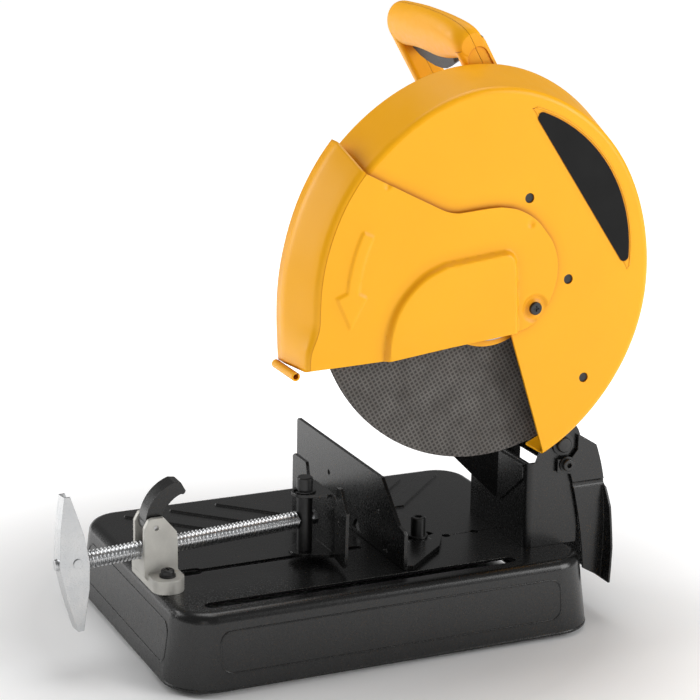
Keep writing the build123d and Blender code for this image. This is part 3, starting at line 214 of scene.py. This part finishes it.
def yellow_plastic(name):
    m = Nodes(name)
    tone = m.ramp(m.noise(9, 3), [(0.3, (0.95, 0.41, 0.003)), (0.7, (0.98, 0.44, 0.004))])
    # painted shade: the plastic goes darker orange in folds and corners
    tone = m.crease(tone, (0.60, 0.17, 0.002), 0.010)
    rough = m.span(m.noise(140, 3), 0.36, 0.50)
    m.bsdf.inputs["Specular IOR Level"].default_value = 0.28
    return m.surface(tone, rough, bump=m.noise(2600, 2), height=0.00010, strength=0.18,
                     round_edges=0.0012)


def black_paint(name):
    m = Nodes(name)
    grit = m.noise(3200, 3, 0.6)
    tone = m.ramp(m.noise(30, 5), [(0.3, 0.004), (0.7, 0.007)])
    worn = m.math("MULTIPLY", m.edge(0.0007), m.span(m.noise(120, 4), 0.0, 0.55))
    colour = m.mix(worn, tone, (0.16, 0.155, 0.15))
    rough = m.span(m.noise(220, 4), 0.25, 0.29)
    m.bsdf.inputs["Specular IOR Level"].default_value = 0.5
    return m.surface(colour, rough, bump=grit, height=0.00010, strength=0.05, round_edges=0.0009)


def plain(name, low, high, rough=(0.35, 0.5), metallic=0.0, grain=800, strength=0.2,
          stretch=None, rounding=0.0006, shine=0.5):
    """A finish between two tones, with a grain that also makes its bump."""
    m = Nodes(name)
    m.bsdf.inputs["Specular IOR Level"].default_value = shine
    grain_fac = m.noise(grain, 4, 0.6, stretch)
    tone = m.ramp(m.noise(40, 4), [(0.3, low), (0.7, high)])
    return m.surface(tone, m.span(grain_fac, *rough), metallic, bump=grain_fac,
                     height=0.00015, strength=strength, round_edges=rounding)


def abrasive(name):
    """Resin-bonded grit with a woven glass mesh pressed into its face."""
    m = Nodes(name)
    split = m.add("ShaderNodeSeparateXYZ")
    m.feed(split.inputs[0], m.coords)
    turn = math.radians(28)
    pitch = 0.0042
    waves = []
    for angle in (turn, turn + math.pi / 2):
        along = m.math("ADD", m.math("MULTIPLY", split.outputs[1], math.cos(angle)),
                       m.math("MULTIPLY", split.outputs[2], math.sin(angle)))
        phase = m.math("MULTIPLY", along, 2 * math.pi / pitch)
        waves.append(m.math("ADD", m.math("MULTIPLY", m.math("SINE", phase), 0.5), 0.5))
    weave = m.math("MAXIMUM", waves[0], waves[1])
    grit = m.noise(1500, 3, 0.7)
    fibres = m.math("MULTIPLY", m.math("POWER", weave, 2.0), m.span(grit, 0.55, 1.0))
    patches = m.noise(45, 4)
    ground = m.ramp(patches, [(0.3, (0.022, 0.019, 0.017)), (0.7, (0.038, 0.034, 0.031))])
    thread = m.ramp(patches, [(0.3, (0.115, 0.105, 0.095)), (0.7, (0.18, 0.168, 0.155))])
    colour = m.mix(fibres, ground, thread)
    height = m.math("ADD", m.math("MULTIPLY", weave, 0.6), m.math("MULTIPLY", grit, 0.6))
    return m.surface(colour, 0.82, bump=height, height=0.0005, strength=0.6)


MAKERS = {
    "yellow_paint": yellow_paint,
    "yellow_plastic": yellow_plastic,
    "black_paint": black_paint,
    "black_plastic": lambda n: plain(n, 0.010, 0.016, (0.42, 0.58), grain=2600, strength=0.3),
    "rubber": lambda n: plain(n, 0.012, 0.020, (0.65, 0.85), grain=900, strength=0.35),
    "zinc": lambda n: plain(n, (0.46, 0.47, 0.48), (0.54, 0.54, 0.54), (0.22, 0.32), 1.0,
                            grain=500, strength=0.02, stretch=(1, 1, 12)),
    "steel": lambda n: plain(n, 0.42, 0.55, (0.26, 0.42), 1.0, grain=900, strength=0.12),
    "black_oxide": lambda n: plain(n, 0.030, 0.055, (0.30, 0.44), 0.8, grain=1100,
                                   strength=0.15),
    "cast_grey": lambda n: plain(n, (0.44, 0.43, 0.40), (0.56, 0.55, 0.51), (0.42, 0.60), 0.55,
                                 grain=700, strength=0.45, rounding=0.0012),
    "abrasive": abrasive,
    "copper": lambda n: plain(n, (0.60, 0.30, 0.16), (0.76, 0.40, 0.24), (0.3, 0.45), 1.0),
    "carbon": lambda n: plain(n, 0.016, 0.030, (0.5, 0.7), grain=1500),
    "label": lambda n: plain(n, 0.003, 0.005, (0.45, 0.52), grain=60, strength=0.02,
                             rounding=None, shine=0.15),
}
material = {name: make(name) for name, make in MAKERS.items()}

for part in frame["record"]["subparts"]:
    node = frame["nodes"][part["node"]]
    node.data.materials.clear()
    node.data.materials.append(material[part["material_slot"]])


# ---- mesh helpers ----
def place(obj, body, slot, replaces=()):
    """Gives a piece its body, its finish and the CAD nodes that it stands for."""
    if not obj.data.materials:
        obj.data.materials.append(material[slot])
    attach(obj, body)
    # Gives a piece its body and its finish, and hides the CAD nodes that it stands for.
    if replaces:
        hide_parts(*replaces)
    return obj


def piece(name, points, faces, body, slot, replaces=(), smooth=None):
    """A mesh piece; smooth is the angle in degrees under which edges are shaded smooth."""
    mesh = bpy.data.meshes.new(name)
    mesh.from_pydata([tuple(p) for p in points], [], faces)
    mesh.validate()
    obj = bpy.data.objects.new(name, mesh)
    bpy.context.scene.collection.objects.link(obj)
    if smooth:
        mesh.shade_smooth()
        mesh.set_sharp_from_angle(angle=math.radians(smooth))
    return place(obj, body, slot, replaces)


def raw_object(name, points, faces):
    """A plain object for cutting with, without a body or a finish."""
    mesh = bpy.data.meshes.new(name)
    mesh.from_pydata([tuple(p) for p in points], [], faces)
    mesh.update()
    obj = bpy.data.objects.new(name, mesh)
    bpy.context.scene.collection.objects.link(obj)
    return obj


def outward(obj):
    """Turns every face of a closed mesh outwards."""
    bm = bmesh.new()
    bm.from_mesh(obj.data)
    bmesh.ops.recalc_face_normals(bm, faces=bm.faces)
    bm.to_mesh(obj.data)
    bm.free()


def applied(obj, name):
    """A new mesh with the object's modifiers applied."""
    graph = bpy.context.evaluated_depsgraph_get()
    mesh = bpy.data.meshes.new_from_object(obj.evaluated_get(graph))
    mesh.name = name
    return mesh


def weld(obj, distance):
    """Joins points that lie together, and turns the faces outwards."""
    bm = bmesh.new()
    bm.from_mesh(obj.data)
    bmesh.ops.remove_doubles(bm, verts=bm.verts, dist=distance)
    bmesh.ops.recalc_face_normals(bm, faces=bm.faces)
    bm.to_mesh(obj.data)
    bm.free()


def grid_faces(rows, columns, closed=False):
    """Quads over rows of points; closed joins the last column to the first."""
    faces = []
    last = columns if closed else columns - 1
    for i in range(rows - 1):
        for j in range(last):
            k = (j + 1) % columns
            faces.append((i * columns + j, i * columns + k,
                          (i + 1) * columns + k, (i + 1) * columns + j))
    return faces


def tube(path, radius, sides=12):
    """Points and faces of a round wire along a path."""
    points = []
    for i, p in enumerate(path):
        ahead = path[min(i + 1, len(path) - 1)] - path[max(i - 1, 0)]
        ahead.normalize()
        side_way = ahead.cross(Vector((0.13, 0.31, 0.94))).normalized()
        up_way = side_way.cross(ahead)
        for j in range(sides):
            a = 2 * math.pi * j / sides
            points.append(p + radius * (math.cos(a) * side_way + math.sin(a) * up_way))
    faces = grid_faces(len(path), sides, closed=True)
    faces.append(tuple(range(sides)))
    faces.append(tuple(reversed(range((len(path) - 1) * sides, len(path) * sides))))
    return points, faces


def smooth_curve(points, steps=8):
    """A Catmull-Rom curve through 2-D points."""
    p = [np.array(q, float) for q in points]
    p = [2 * p[0] - p[1]] + p + [2 * p[-1] - p[-2]]
    out = []
    for i in range(1, len(p) - 2):
        for k in range(steps):
            t = k / steps
            a, b, c, d = p[i - 1], p[i], p[i + 1], p[i + 2]
            out.append(0.5 * (2 * b + (c - a) * t + (2 * a - 5 * b + 4 * c - d) * t * t
                              + (3 * b - a - 3 * c + d) * t ** 3))
    out.append(p[-2])
    return [tuple(q) for q in out]


def inside_distance(x, y, outline):
    """How far points lie inside a closed outline; negative outside."""
    ring = np.array(outline, float)
    ends = np.roll(ring, -1, axis=0)
    best = np.full(x.shape, 1e9)
    inside = np.zeros(x.shape, bool)
    for (ax, ay), (bx, by) in zip(ring, ends):
        ex, ey = bx - ax, by - ay
        t = np.clip(((x - ax) * ex + (y - ay) * ey) / max(ex * ex + ey * ey, 1e-9), 0, 1)
        best = np.minimum(best, np.hypot(x - ax - t * ex, y - ay - t * ey))
        crosses = (ay > y) != (by > y)
        with np.errstate(divide="ignore", invalid="ignore"):
            hit = x < ax + (y - ay) * ex / ey
        inside ^= crosses & hit
    return np.where(inside, best, -best)


def ramp_up(distance, width):
    """A soft step from 0 to 1 over a width, half way up at no distance."""
    t = np.clip(distance / width + 0.5, 0, 1)
    return t * t * (3 - 2 * t)


# ---- camera, lights and floor ----
def aim(obj, position, target, roll=0.0):
    """Places a camera or lamp and points it at a target; roll is in degrees."""
    obj.location = position
    turn = (target - position).to_track_quat("-Z", "Y").to_matrix()
    tilt = Matrix.Rotation(math.radians(roll), 3, "Z")
    obj.rotation_euler = (turn @ tilt).to_euler()


CAMERA_PLACE, CAMERA_TARGET, CAMERA_ROLL = at(2027.3, -685.0, 913.7), at(0, 243.6, 284.03), 0.97
FOCAL_LENGTH = 114.6
WORLD_LIGHT = 0.22
FLOOR_REACH = 12.0
GLOW_FROM, GLOW_TO, GLOW = 0.30, 0.75, 0.80     # metres from the middle, and strength


def add_camera():
    data = bpy.data.cameras.new("camera")
    data.lens = FOCAL_LENGTH
    data.sensor_width = 36.0
    data.clip_end = 20.0
    camera = bpy.data.objects.new("camera", data)
    bpy.context.scene.collection.objects.link(camera)
    aim(camera, CAMERA_PLACE, CAMERA_TARGET, CAMERA_ROLL)
    bpy.context.scene.camera = camera


def add_light(name, position, target, size, power):
    data = bpy.data.lights.new(name, "AREA")
    data.shape = "RECTANGLE"
    data.size, data.size_y = size
    data.energy = power
    light = bpy.data.objects.new(name, data)
    bpy.context.scene.collection.objects.link(light)
    aim(light, Vector(position), Vector(target))


def add_studio():
    """Even white light, and a white floor that darkens only near the saw."""
    world = bpy.data.worlds.new("studio")
    world.use_nodes = True
    background = world.node_tree.nodes["Background"]
    background.inputs["Color"].default_value = (1.0, 1.0, 1.0, 1)
    background.inputs["Strength"].default_value = WORLD_LIGHT
    bpy.context.scene.world = world
    bpy.context.scene.view_settings.view_transform = "Standard"
    middle = (0, 0, 0.3)
    add_light("left_softbox", (-1.7, -2.0, 1.3), middle, (1.2, 1.8), 36)
    add_light("right_softbox", (1.9, 2.0, 1.2), middle, (1.3, 1.6), 40)
    add_light("top_softbox", (-0.4, 0.4, 2.6), middle, (1.6, 1.6), 24)
    add_light("front_fill", (2.4, -1.2, 0.9), middle, (0.8, 1.4), 3)
    mesh = bpy.data.meshes.new("floor")
    r = FLOOR_REACH
    mesh.from_pydata([(-r, -r, 0), (r, -r, 0), (r, r, 0), (-r, r, 0)], [], [(0, 1, 2, 3)])
    floor = bpy.data.objects.new("floor", mesh)
    bpy.context.scene.collection.objects.link(floor)
    m = Nodes("floor_paper")
    m.bsdf.inputs["Emission Color"].default_value = (1, 1, 1, 1)
    away = m.add("ShaderNodeVectorMath", operation="LENGTH")
    m.feed(away.inputs[0], m.coords)
    glow = m.add("ShaderNodeMapRange")
    m.feed(glow.inputs["Value"], away.outputs["Value"])
    glow.inputs["From Min"].default_value = GLOW_FROM
    glow.inputs["From Max"].default_value = GLOW_TO
    glow.inputs["To Max"].default_value = GLOW
    m.feed(m.bsdf.inputs["Emission Strength"], glow.outputs["Result"])
    floor.data.materials.append(m.surface((0.90, 0.90, 0.90), 0.9))


# ---- front guard ----
# rims are (degrees about the spindle, radius); outlines are (depth, height); all in millimetres
NEAR_RIM = [(138.3, 193), (149, 191.7), (160, 190.5), (172, 190.2), (181, 190.5), (186, 192),
            (189.5, 197), (192.5, 203.5), (195, 207), (197.5, 209.5)]
BAND_RIM = [(135.3, 212), (150, 208), (165, 205.5), (180, 206.5), (190, 209.5), (197.6, 214.5)]
BAND_FAR, BAND_NEAR, SHEET_FACE = 102.0, 117.0, 162.3
SHEET = 1.8
FACE_MARGIN, BAND_DROP, FACE_FOLD, BAND_FOLD = 12, 0.5, 7, 4     # how the shell is folded


def resampled(rim, count):
    """A rim as evenly spaced points of a smooth curve."""
    curve = np.array(smooth_curve(rim, 16))
    flat = np.array([(r * math.cos(math.radians(a)), r * math.sin(math.radians(a)))
                     for a, r in curve])
    run = np.concatenate([[0], np.cumsum(np.hypot(*np.diff(flat, axis=0).T))])
    where = np.linspace(0, run[-1], count)
    return list(zip(np.interp(where, run, curve[:, 0]), np.interp(where, run, curve[:, 1])))


def soft_corner(before, corner, after, size, steps=5):
    """Points of a rounded corner, starting and ending size away from it."""
    start = corner + (before - corner).normalized() * size
    end = corner + (after - corner).normalized() * size
    out = []
    for k in range(steps + 1):
        t = k / steps
        out.append((1 - t) ** 2 * start + 2 * t * (1 - t) * corner + t * t * end)
    return out


def guard_shell():
    """The cone and the bright band of the front guard, rounded where the sheet is folded."""
    count = 70
    rows = []
    for (na, nr), (ba, br) in zip(resampled(NEAR_RIM, count), resampled(BAND_RIM, count)):
        inner = polar(SHEET_FACE, nr - FACE_MARGIN, na)
        crease = polar(SHEET_FACE, nr, na)
        fold = polar(BAND_NEAR, br - BAND_DROP, ba)
        edge = polar(BAND_FAR, br, ba)
        row = soft_corner(inner, crease, fold, FACE_FOLD * MM, 7)
        row += [row[-1].lerp(fold, f) for f in (0.25, 0.5, 0.75)]
        row += soft_corner(crease, fold, edge, BAND_FOLD * MM, 5)
        row.append(edge)
        rows.append(row)
    points = [p for row in rows for p in row]
    obj = piece("front_guard_shell", points, grid_faces(count, len(rows[0])), "front_guard",
                "yellow_paint", ("front_guard",), smooth=60)
    solid = obj.modifiers.new("sheet", "SOLIDIFY")
    solid.thickness = SHEET * MM
    solid.offset = -1
    return obj


PANEL = [(204.5, 300), (204.8, 322), (206.5, 345), (213.5, 368), (226, 386.5), (245, 403),
         (268, 413)]
PANEL_END = [(328, 419.8), (336, 420), (343, 416.5), (347.5, 410), (349, 402), (352.5, 345),
             (353, 300)]


ARROW_RADIUS, ARROW_HALF_WIDTH, ARROW_FROM, ARROW_SWEEP = 153.5, 6.3, 154, 22
ARROW_HEAD = [(186.1, 384.5), (169.3, 353.8), (154.2, 386.1)]
GUARD_SCREW = (370.0, 357.0)
RIVETS = [(206.2, 491.9), (362.3, 442.9)]
PANEL_RISE, PANEL_INSET, PANEL_SLOPE = 5.6, 3.0, 5.2
ARROW_RISE, ARROW_SLOPE = 1.6, 2.0
RIVET_SINK, RIVET_SPREAD = 1.3, 2.9
RING_SINK, RING_OUTER, RING_INNER = 1.7, 13.5, 8.2      # the groove round the guard's screw


def around_spindle(radius, degrees):
    """Depth and height of a point about the spindle, in millimetres."""
    a = math.radians(degrees)
    return (SPINDLE_D + radius * math.cos(a), SPINDLE_Z + radius * math.sin(a))


def arrow_outline():
    """The turning arrow: a curved shaft with a head at its lower end."""
    spine = [ARROW_FROM + ARROW_SWEEP * k / 8 for k in range(9)]
    inner = [around_spindle(ARROW_RADIUS - ARROW_HALF_WIDTH, a) for a in spine]
    outer = [around_spindle(ARROW_RADIUS + ARROW_HALF_WIDTH, a) for a in spine]
    return inner + ARROW_HEAD + outer[::-1]


def near_height(d, z):
    """How far the near sheet's face stands out of its plane, in millimetres."""
    panel = smooth_curve(PANEL, 6) + smooth_curve(PANEL_END, 5)
    rise = PANEL_RISE * ramp_up(inside_distance(d, z, panel) - PANEL_INSET, PANEL_SLOPE)
    arrow = inside_distance(d, z, arrow_outline())
    rise += ARROW_RISE * ramp_up(arrow, ARROW_SLOPE)
    for rd, rz in RIVETS:
        away = np.hypot(d - rd, z - rz)
        rise -= RIVET_SINK * np.exp(-((away - 0.4) / RIVET_SPREAD) ** 4)
    away = np.hypot(d - GUARD_SCREW[0], z - GUARD_SCREW[1])
    rise -= RING_SINK * ramp_up(RING_OUTER - away, 2.5) * ramp_up(away - RING_INNER, 1.5)
    return rise


def sheet_outline():
    """The near face's edge: along the fold, back under the wheel, round the nose and the neck."""
    rim = [around_spindle(r - 4, a) for a, r in resampled(NEAR_RIM, 60)]
    under = [(206, 319.2), (276, 327.5), (320, 331.8), (343.5, 334.2)]
    nose = smooth_curve([(343.5, 334.2), (358, 336.5), (371, 342.5), (381, 353.5), (388.5, 368),
                         (393, 383), (394.3, 397), (392, 411), (386.5, 424), (378, 435.5),
                         (369, 445.5), (358, 453.2), (345, 459), (329, 462)], 4)
    neck = smooth_curve([(329, 462), (312, 461.6), (292, 460), (280, 459.6), (268, 462.5),
                         (254, 469.2)], 5)
    return rim + under + nose + neck[1:]


def near_sheet():
    """The near face of the front guard: a pressed sheet, cut to its outline."""
    step, beyond = 1.6, 20
    d = np.arange(116, 399, step)
    z = np.arange(306, 514, step)
    grid_d, grid_z = np.meshgrid(d, z)
    rise = near_height(grid_d, grid_z)
    rows, columns = grid_d.shape
    upper = [at(SHEET_FACE + h, a, b) for a, b, h in
             zip(grid_d.ravel(), grid_z.ravel(), rise.ravel())]
    lower = [p - Vector((SHEET * MM, 0, 0)) for p in upper]
    faces = grid_faces(rows, columns)
    n = rows * columns
    faces += [tuple(n + k for k in reversed(f)) for f in faces]
    ring = (list(range(columns))
            + [i * columns + columns - 1 for i in range(1, rows)]
            + [(rows - 1) * columns + j for j in range(columns - 2, -1, -1)]
            + [i * columns for i in range(rows - 2, 0, -1)])
    for a, b in zip(ring, ring[1:] + ring[:1]):
        faces.append((b, a, n + a, n + b))
    slab = raw_object("guard_slab", upper + lower, faces)
    outline = sheet_outline()
    near = [at(SHEET_FACE + beyond, *p) for p in outline]
    far = [at(SHEET_FACE - beyond, *p) for p in outline]
    m = len(outline)
    walls = [(i, (i + 1) % m, m + (i + 1) % m, m + i) for i in range(m)]
    cutter = raw_object("guard_cutter", near + far,
                        walls + [tuple(reversed(range(m))), tuple(range(m, 2 * m))])
    for obj in (slab, cutter):
        outward(obj)
    cut = slab.modifiers.new("outline", "BOOLEAN")
    cut.operation = "INTERSECT"
    cut.solver = "EXACT"
    cut.object = cutter
    mesh = applied(slab, "front_guard_face")
    for obj in (slab, cutter):
        bpy.data.objects.remove(obj)
    mesh.shade_smooth()
    mesh.set_sharp_from_angle(angle=math.radians(40))
    obj = bpy.data.objects.new("front_guard_face", mesh)
    bpy.context.scene.collection.objects.link(obj)
    mesh.materials.clear()
    return place(obj, "front_guard", "yellow_paint", ("front_guard",))


def curled_lip():
    """The hollow roll along the guard's lower front edge."""
    turns = 30
    outer, inner = 4.4, 2.7
    middle_d, middle_z, far_x, near_x = 118.5, 309.6, 100.0, 150.0
    points = []
    start, sweep = math.radians(70), math.radians(330)
    profile = []
    for k in range(turns + 1):
        a = start + sweep * k / turns
        profile.append((outer * math.cos(a), outer * math.sin(a)))
    for k in range(turns + 1):
        a = start + sweep * (turns - k) / turns
        profile.append((inner * math.cos(a), inner * math.sin(a)))
    for x in (far_x, near_x):
        points += [at(x, middle_d + p, middle_z + q) for p, q in profile]
    n = len(profile)
    faces = [(i, (i + 1) % n, n + (i + 1) % n, n + i) for i in range(n)]
    for base in (0, n):
        for i in range(turns):
            a, b = base + i, base + i + 1
            c, e = base + n - 2 - i, base + n - 1 - i
            faces.append((a, b, c, e) if base else (b, a, e, c))
    return piece("front_guard_lip", points, faces, "front_guard", "yellow_paint",
                 ("front_guard",), smooth=40)


# ---- vise screw ----
VISE_TILT = math.radians(2.8)
SCREW_DIR = Vector((0, math.cos(VISE_TILT), math.sin(VISE_TILT)))
SCREW_UP = Vector((0, -math.sin(VISE_TILT), math.cos(VISE_TILT)))
SIDEWAYS = Vector((1, 0, 0))
VISE_PIN = at(51.0, 172.0, 125.1)
SCREW_ENDS = [(-257, 7.0), (-256.4, 7.6), (-233.4, 7.6), (-232.4, 9.15), (-231.5, 9.15)]
SCREW_JOURNAL = [(-9.9, 9.15), (-9.0, 9.15), (-9.0, 5.0), (12.3, 5.0), (13, 4.2)]


def along_screw(s, radius=0.0, angle=0.0):
    """A point s millimetres along the screw from the vise pin, at a radius and an angle."""
    out = math.cos(angle) * SIDEWAYS + math.sin(angle) * SCREW_UP
    return VISE_PIN + (s * SCREW_DIR + radius * out) * MM


def threaded_screw():
    """The threaded length of the vise screw, with its real helix."""
    pitch, root, crest = 4.0, 7.9, 9.15
    first, last = -232.0, -9.5
    around = 40
    shape = [(0.0, root), (0.22, root), (0.42, crest), (0.60, crest), (0.80, root)]
    turns = int((last - first) / pitch) + 2
    rows = []
    for turn in range(-1, turns):
        for place_in_pitch, radius in shape:
            row = []
            for j in range(around + 1):
                s = first + (turn + place_in_pitch + j / around) * pitch
                row.append(along_screw(min(max(s, first), last), radius,
                                       2 * math.pi * j / around))
            rows.append(row)
    points = [p for row in rows for p in row]
    faces = grid_faces(len(rows), around + 1)
    obj = piece("vise_screw_thread", points, faces, "vise_screw", "zinc", ("vise_screw",),
                smooth=35)
    weld(obj, 0.00002)
    return obj


def turned(name, profile, body, slot, replaces=()):
    """A turned piece along the vise screw: profile is (place, radius), closed at its ends."""
    around = 48
    points = []
    for s, radius in profile:
        for j in range(around):
            points.append(along_screw(s, radius, 2 * math.pi * j / around))
    faces = grid_faces(len(profile), around, closed=True)
    faces.append(tuple(range(around)))
    faces.append(tuple(reversed(range((len(profile) - 1) * around, len(profile) * around))))
    obj = piece(name, points, faces, body, slot, replaces, smooth=35)
    outward(obj)
    return obj


# ---- springs ----
def coil(name, start, along, radius, wire, turns, body, replaces, per_turn=24):
    """A coil spring of round wire: start and along are the axis, radius the coil's."""
    axis = along.normalized()
    one = axis.cross(Vector((0, 0.2, 1))).normalized()
    two = axis.cross(one)
    path = []
    for k in range(int(turns * per_turn) + 1):
        a = 2 * math.pi * k / per_turn
        path.append(start + along * (k / (turns * per_turn))
                    + radius * (math.cos(a) * one + math.sin(a) * two))
    points, faces = tube(path, wire, 10)
    return piece(name, points, faces, body, "steel", replaces, smooth=50)


def add_springs():
    """The three coil springs, each in the box of the tube that stands for it in the CAD."""
    lo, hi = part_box("arm_spring")
    wire = 2.2 * MM
    coil("arm_spring_coil", Vector((lo.x + wire, pivot.y, pivot.z)),
         Vector((hi.x - lo.x - 2 * wire, 0, 0)), 15 * MM, wire, 6, "root", ("arm_spring",))
    lo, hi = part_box("guard_spring")
    mid = (lo + hi) / 2
    coil("guard_spring_coil", Vector((lo.x + 1 * MM, mid.y, mid.z)),
         Vector((hi.x - lo.x - 2 * MM, 0, 0)), 52 * MM, 0.9 * MM, 3, "arm", ("guard_spring",),
         per_turn=60)
    lo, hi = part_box("lock_spring")
    mid = (lo + hi) / 2
    coil("lock_spring_coil", Vector((lo.x + 0.8 * MM, mid.y, mid.z)),
         Vector((hi.x - lo.x - 1.6 * MM, 0, 0)), 5.2 * MM, 0.7 * MM, 4, "arm",
         ("lock_spring",))


# ---- small details ----
def loop_tube(name, corners, radius, body, slot, sides=10):
    """A round bead along a path that comes back to its first point."""
    points, faces = tube(corners + corners[:1], radius, sides)
    return piece(name, points, faces, body, slot, smooth=50)


def rounded_loop(width, height, radius, steps=8):
    """Points of a rounded rectangle round the origin."""
    loop = []
    for k, (sx, sy) in enumerate(((1, 1), (-1, 1), (-1, -1), (1, -1))):
        for i in range(steps + 1):
            a = math.radians(90 * k + 90 * i / steps)
            loop.append((sx * (width / 2 - radius) + radius * math.cos(a),
                         sy * (height / 2 - radius) + radius * math.sin(a)))
    return loop


# the base in millimetres: heights of its top and rim, and the size of its top
TABLE_TOP, PAN_RIM, PAN_WIDTH, PAN_LENGTH = 82.0, 5.0, 320.0, 450.0
OUTLINE_MIDDLE, OUTLINE_TALL, OUTLINE_CORNER, OUTLINE_SHORTER = 43.0, 42.0, 12.0, 74.0
OUTLINE_BEAD, OUTLINE_SUNK = 1.1, 0.45
LIP_BEAD, LIP_INSET, LIP_CORNER = 1.7, 3.6, 43.0


def wall_lean(height):
    """How far the pan's wall stands out at a height, in millimetres."""
    return BASE_FLARE / MM * (TABLE_TOP - height) / (TABLE_TOP - PAN_RIM)


def wall_panels():
    """The outline on each wall of the base and the bead along its foot, both raised."""
    def panel(side_name, length, spot):
        loop = []
        for u, v in rounded_loop(length - OUTLINE_SHORTER, OUTLINE_TALL, OUTLINE_CORNER):
            height = OUTLINE_MIDDLE + v
            loop.append(spot(u, wall_lean(height) - OUTLINE_SUNK, height))
        loop_tube("base_panel_" + side_name, loop, OUTLINE_BEAD * MM, "root", "black_paint")

    for side_name, sign in (("right", 1), ("left", -1)):
        panel(side_name, PAN_LENGTH, lambda u, lean, height:
              at(sign * (PAN_WIDTH / 2 + lean), PAN_LENGTH / 2 + u, height))
    for side_name, depth, sign in (("front", 0.0, -1), ("rear", PAN_LENGTH, 1)):
        panel(side_name, PAN_WIDTH, lambda u, lean, height:
              at(u, depth + sign * lean, height))
    spread = 2 * wall_lean(PAN_RIM) - LIP_INSET
    lip = [at(u, PAN_LENGTH / 2 + v, PAN_RIM + LIP_BEAD)
           for u, v in rounded_loop(PAN_WIDTH + spread, PAN_LENGTH + spread, LIP_CORNER, 12)]
    loop_tube("base_lip", lip, LIP_BEAD * MM, "root", "black_paint", sides=12)


def disc(name, centre_point, radius, thick, body, slot, around=32):
    """A short cylinder square to X, chamfered where it ends, at its centre point."""
    chamfer = 0.3
    points = []
    for x, r in ((-thick, radius), (-chamfer, radius), (0.0, radius - chamfer)):
        for j in range(around):
            a = 2 * math.pi * j / around
            points.append(centre_point + Vector((x, r * math.cos(a), r * math.sin(a))) * MM)
    faces = grid_faces(3, around, closed=True)
    faces.append(tuple(range(around)))
    faces.append(tuple(reversed(range(2 * around, 3 * around))))
    obj = piece(name, points, faces, body, slot, smooth=35)
    outward(obj)
    return obj


GUARD_FACE = 156.6          # X of the plugs' outer face on the fixed guard
PLUGS = [(361.6, 467.9), (408.9, 382.3), (431.6, 277.9)]
PLUG_RADIUS, PLUG_THICK = 4.9, 2.0


def guard_plugs():
    """The three plugs in the near face of the fixed guard."""
    for k, (depth, height) in enumerate(PLUGS):
        disc("guard_plug_" + str(k + 1), at(GUARD_FACE, depth, height), PLUG_RADIUS,
             PLUG_THICK, "arm", "black_plastic")


LABEL_CORNERS = ((360.0, 556.0), (438.0, 508.0), (476.0, 386.0))   # top, arc, bottom
LABEL_MARGIN, LABEL_BEAD, LABEL_BEAD_X, LABEL_STEPS = 2.4, 1.1, 157.6, 32


def label_rim():
    """A raised bead of the guard round its blank label: an arc and its chord."""
    first, middle, last = (Vector(corner) for corner in LABEL_CORNERS)
    turn = 2 * ((middle - first).cross(last - first))
    b, c = middle - first, last - first
    hub = first + Vector((c.y * b.length_squared - b.y * c.length_squared,
                          b.x * c.length_squared - c.x * b.length_squared)) / turn
    reach = (first - hub).length + LABEL_MARGIN
    start = math.atan2(first.y - hub.y, first.x - hub.x)
    stop = math.atan2(last.y - hub.y, last.x - hub.x)
    path = []
    for k in range(LABEL_STEPS + 1):
        a = start + (stop - start) * (k + 0.8) / (LABEL_STEPS + 1.6)
        path.append((hub.x + reach * math.cos(a), hub.y + reach * math.sin(a)))
    chord = (last - first).normalized()
    out = Vector((chord.y, -chord.x)) * (1 if (middle - first).cross(chord) > 0 else -1)
    for corner, sideways, back in ((last, 1.4, -1), (last, LABEL_MARGIN, -6),
                                   (first, LABEL_MARGIN, 6), (first, 1.4, 1)):
        path.append(tuple(corner + sideways * out + back * chord))
    loop_tube("label_rim", [at(LABEL_BEAD_X, d, z) for d, z in path], LABEL_BEAD * MM, "arm",
              "yellow_paint")


FENCE_PIVOT_X, FENCE_PIVOT_D = -20.0, 290.0
TICKS, TICK_FIRST, TICK_STEP = 13, -11.0, 2.2       # their number, and degrees
TICK_RADIUS, TICK_LONG, TICK_SHORT, TICK_HALF_WIDTH = 79.5, 6.0, 3.5, 0.3
TICK_TOP = 87.06            # just above the fence's foot


def fence_scale():
    """Degree ticks beside the fence's curved slot, flat strips laid on its foot."""
    points, faces = [], []
    for k in range(TICKS):
        turn = math.radians(TICK_FIRST + TICK_STEP * k)
        long = TICK_LONG if k % 3 == 0 else TICK_SHORT
        along = Vector((math.cos(turn), math.sin(turn)))
        across = Vector((-along.y, along.x))
        for r in (TICK_RADIUS, TICK_RADIUS + long):
            for w in (-TICK_HALF_WIDTH, TICK_HALF_WIDTH):
                spot = along * r + across * w
                points.append(at(FENCE_PIVOT_X + spot.x, FENCE_PIVOT_D + spot.y, TICK_TOP))
        b = 4 * k
        faces.append((b, b + 2, b + 3, b + 1))
    piece("fence_scale", points, faces, "fence", "zinc")


add_camera()
add_studio()
wall_panels()
guard_plugs()
label_rim()
fence_scale()
guard_shell()
near_sheet()
curled_lip()
threaded_screw()
turned("vise_screw_ends", SCREW_ENDS, "vise_screw", "zinc", ("vise_screw",))
turned("vise_screw_journal", SCREW_JOURNAL, "vise_screw", "zinc", ("vise_screw",))
add_springs()
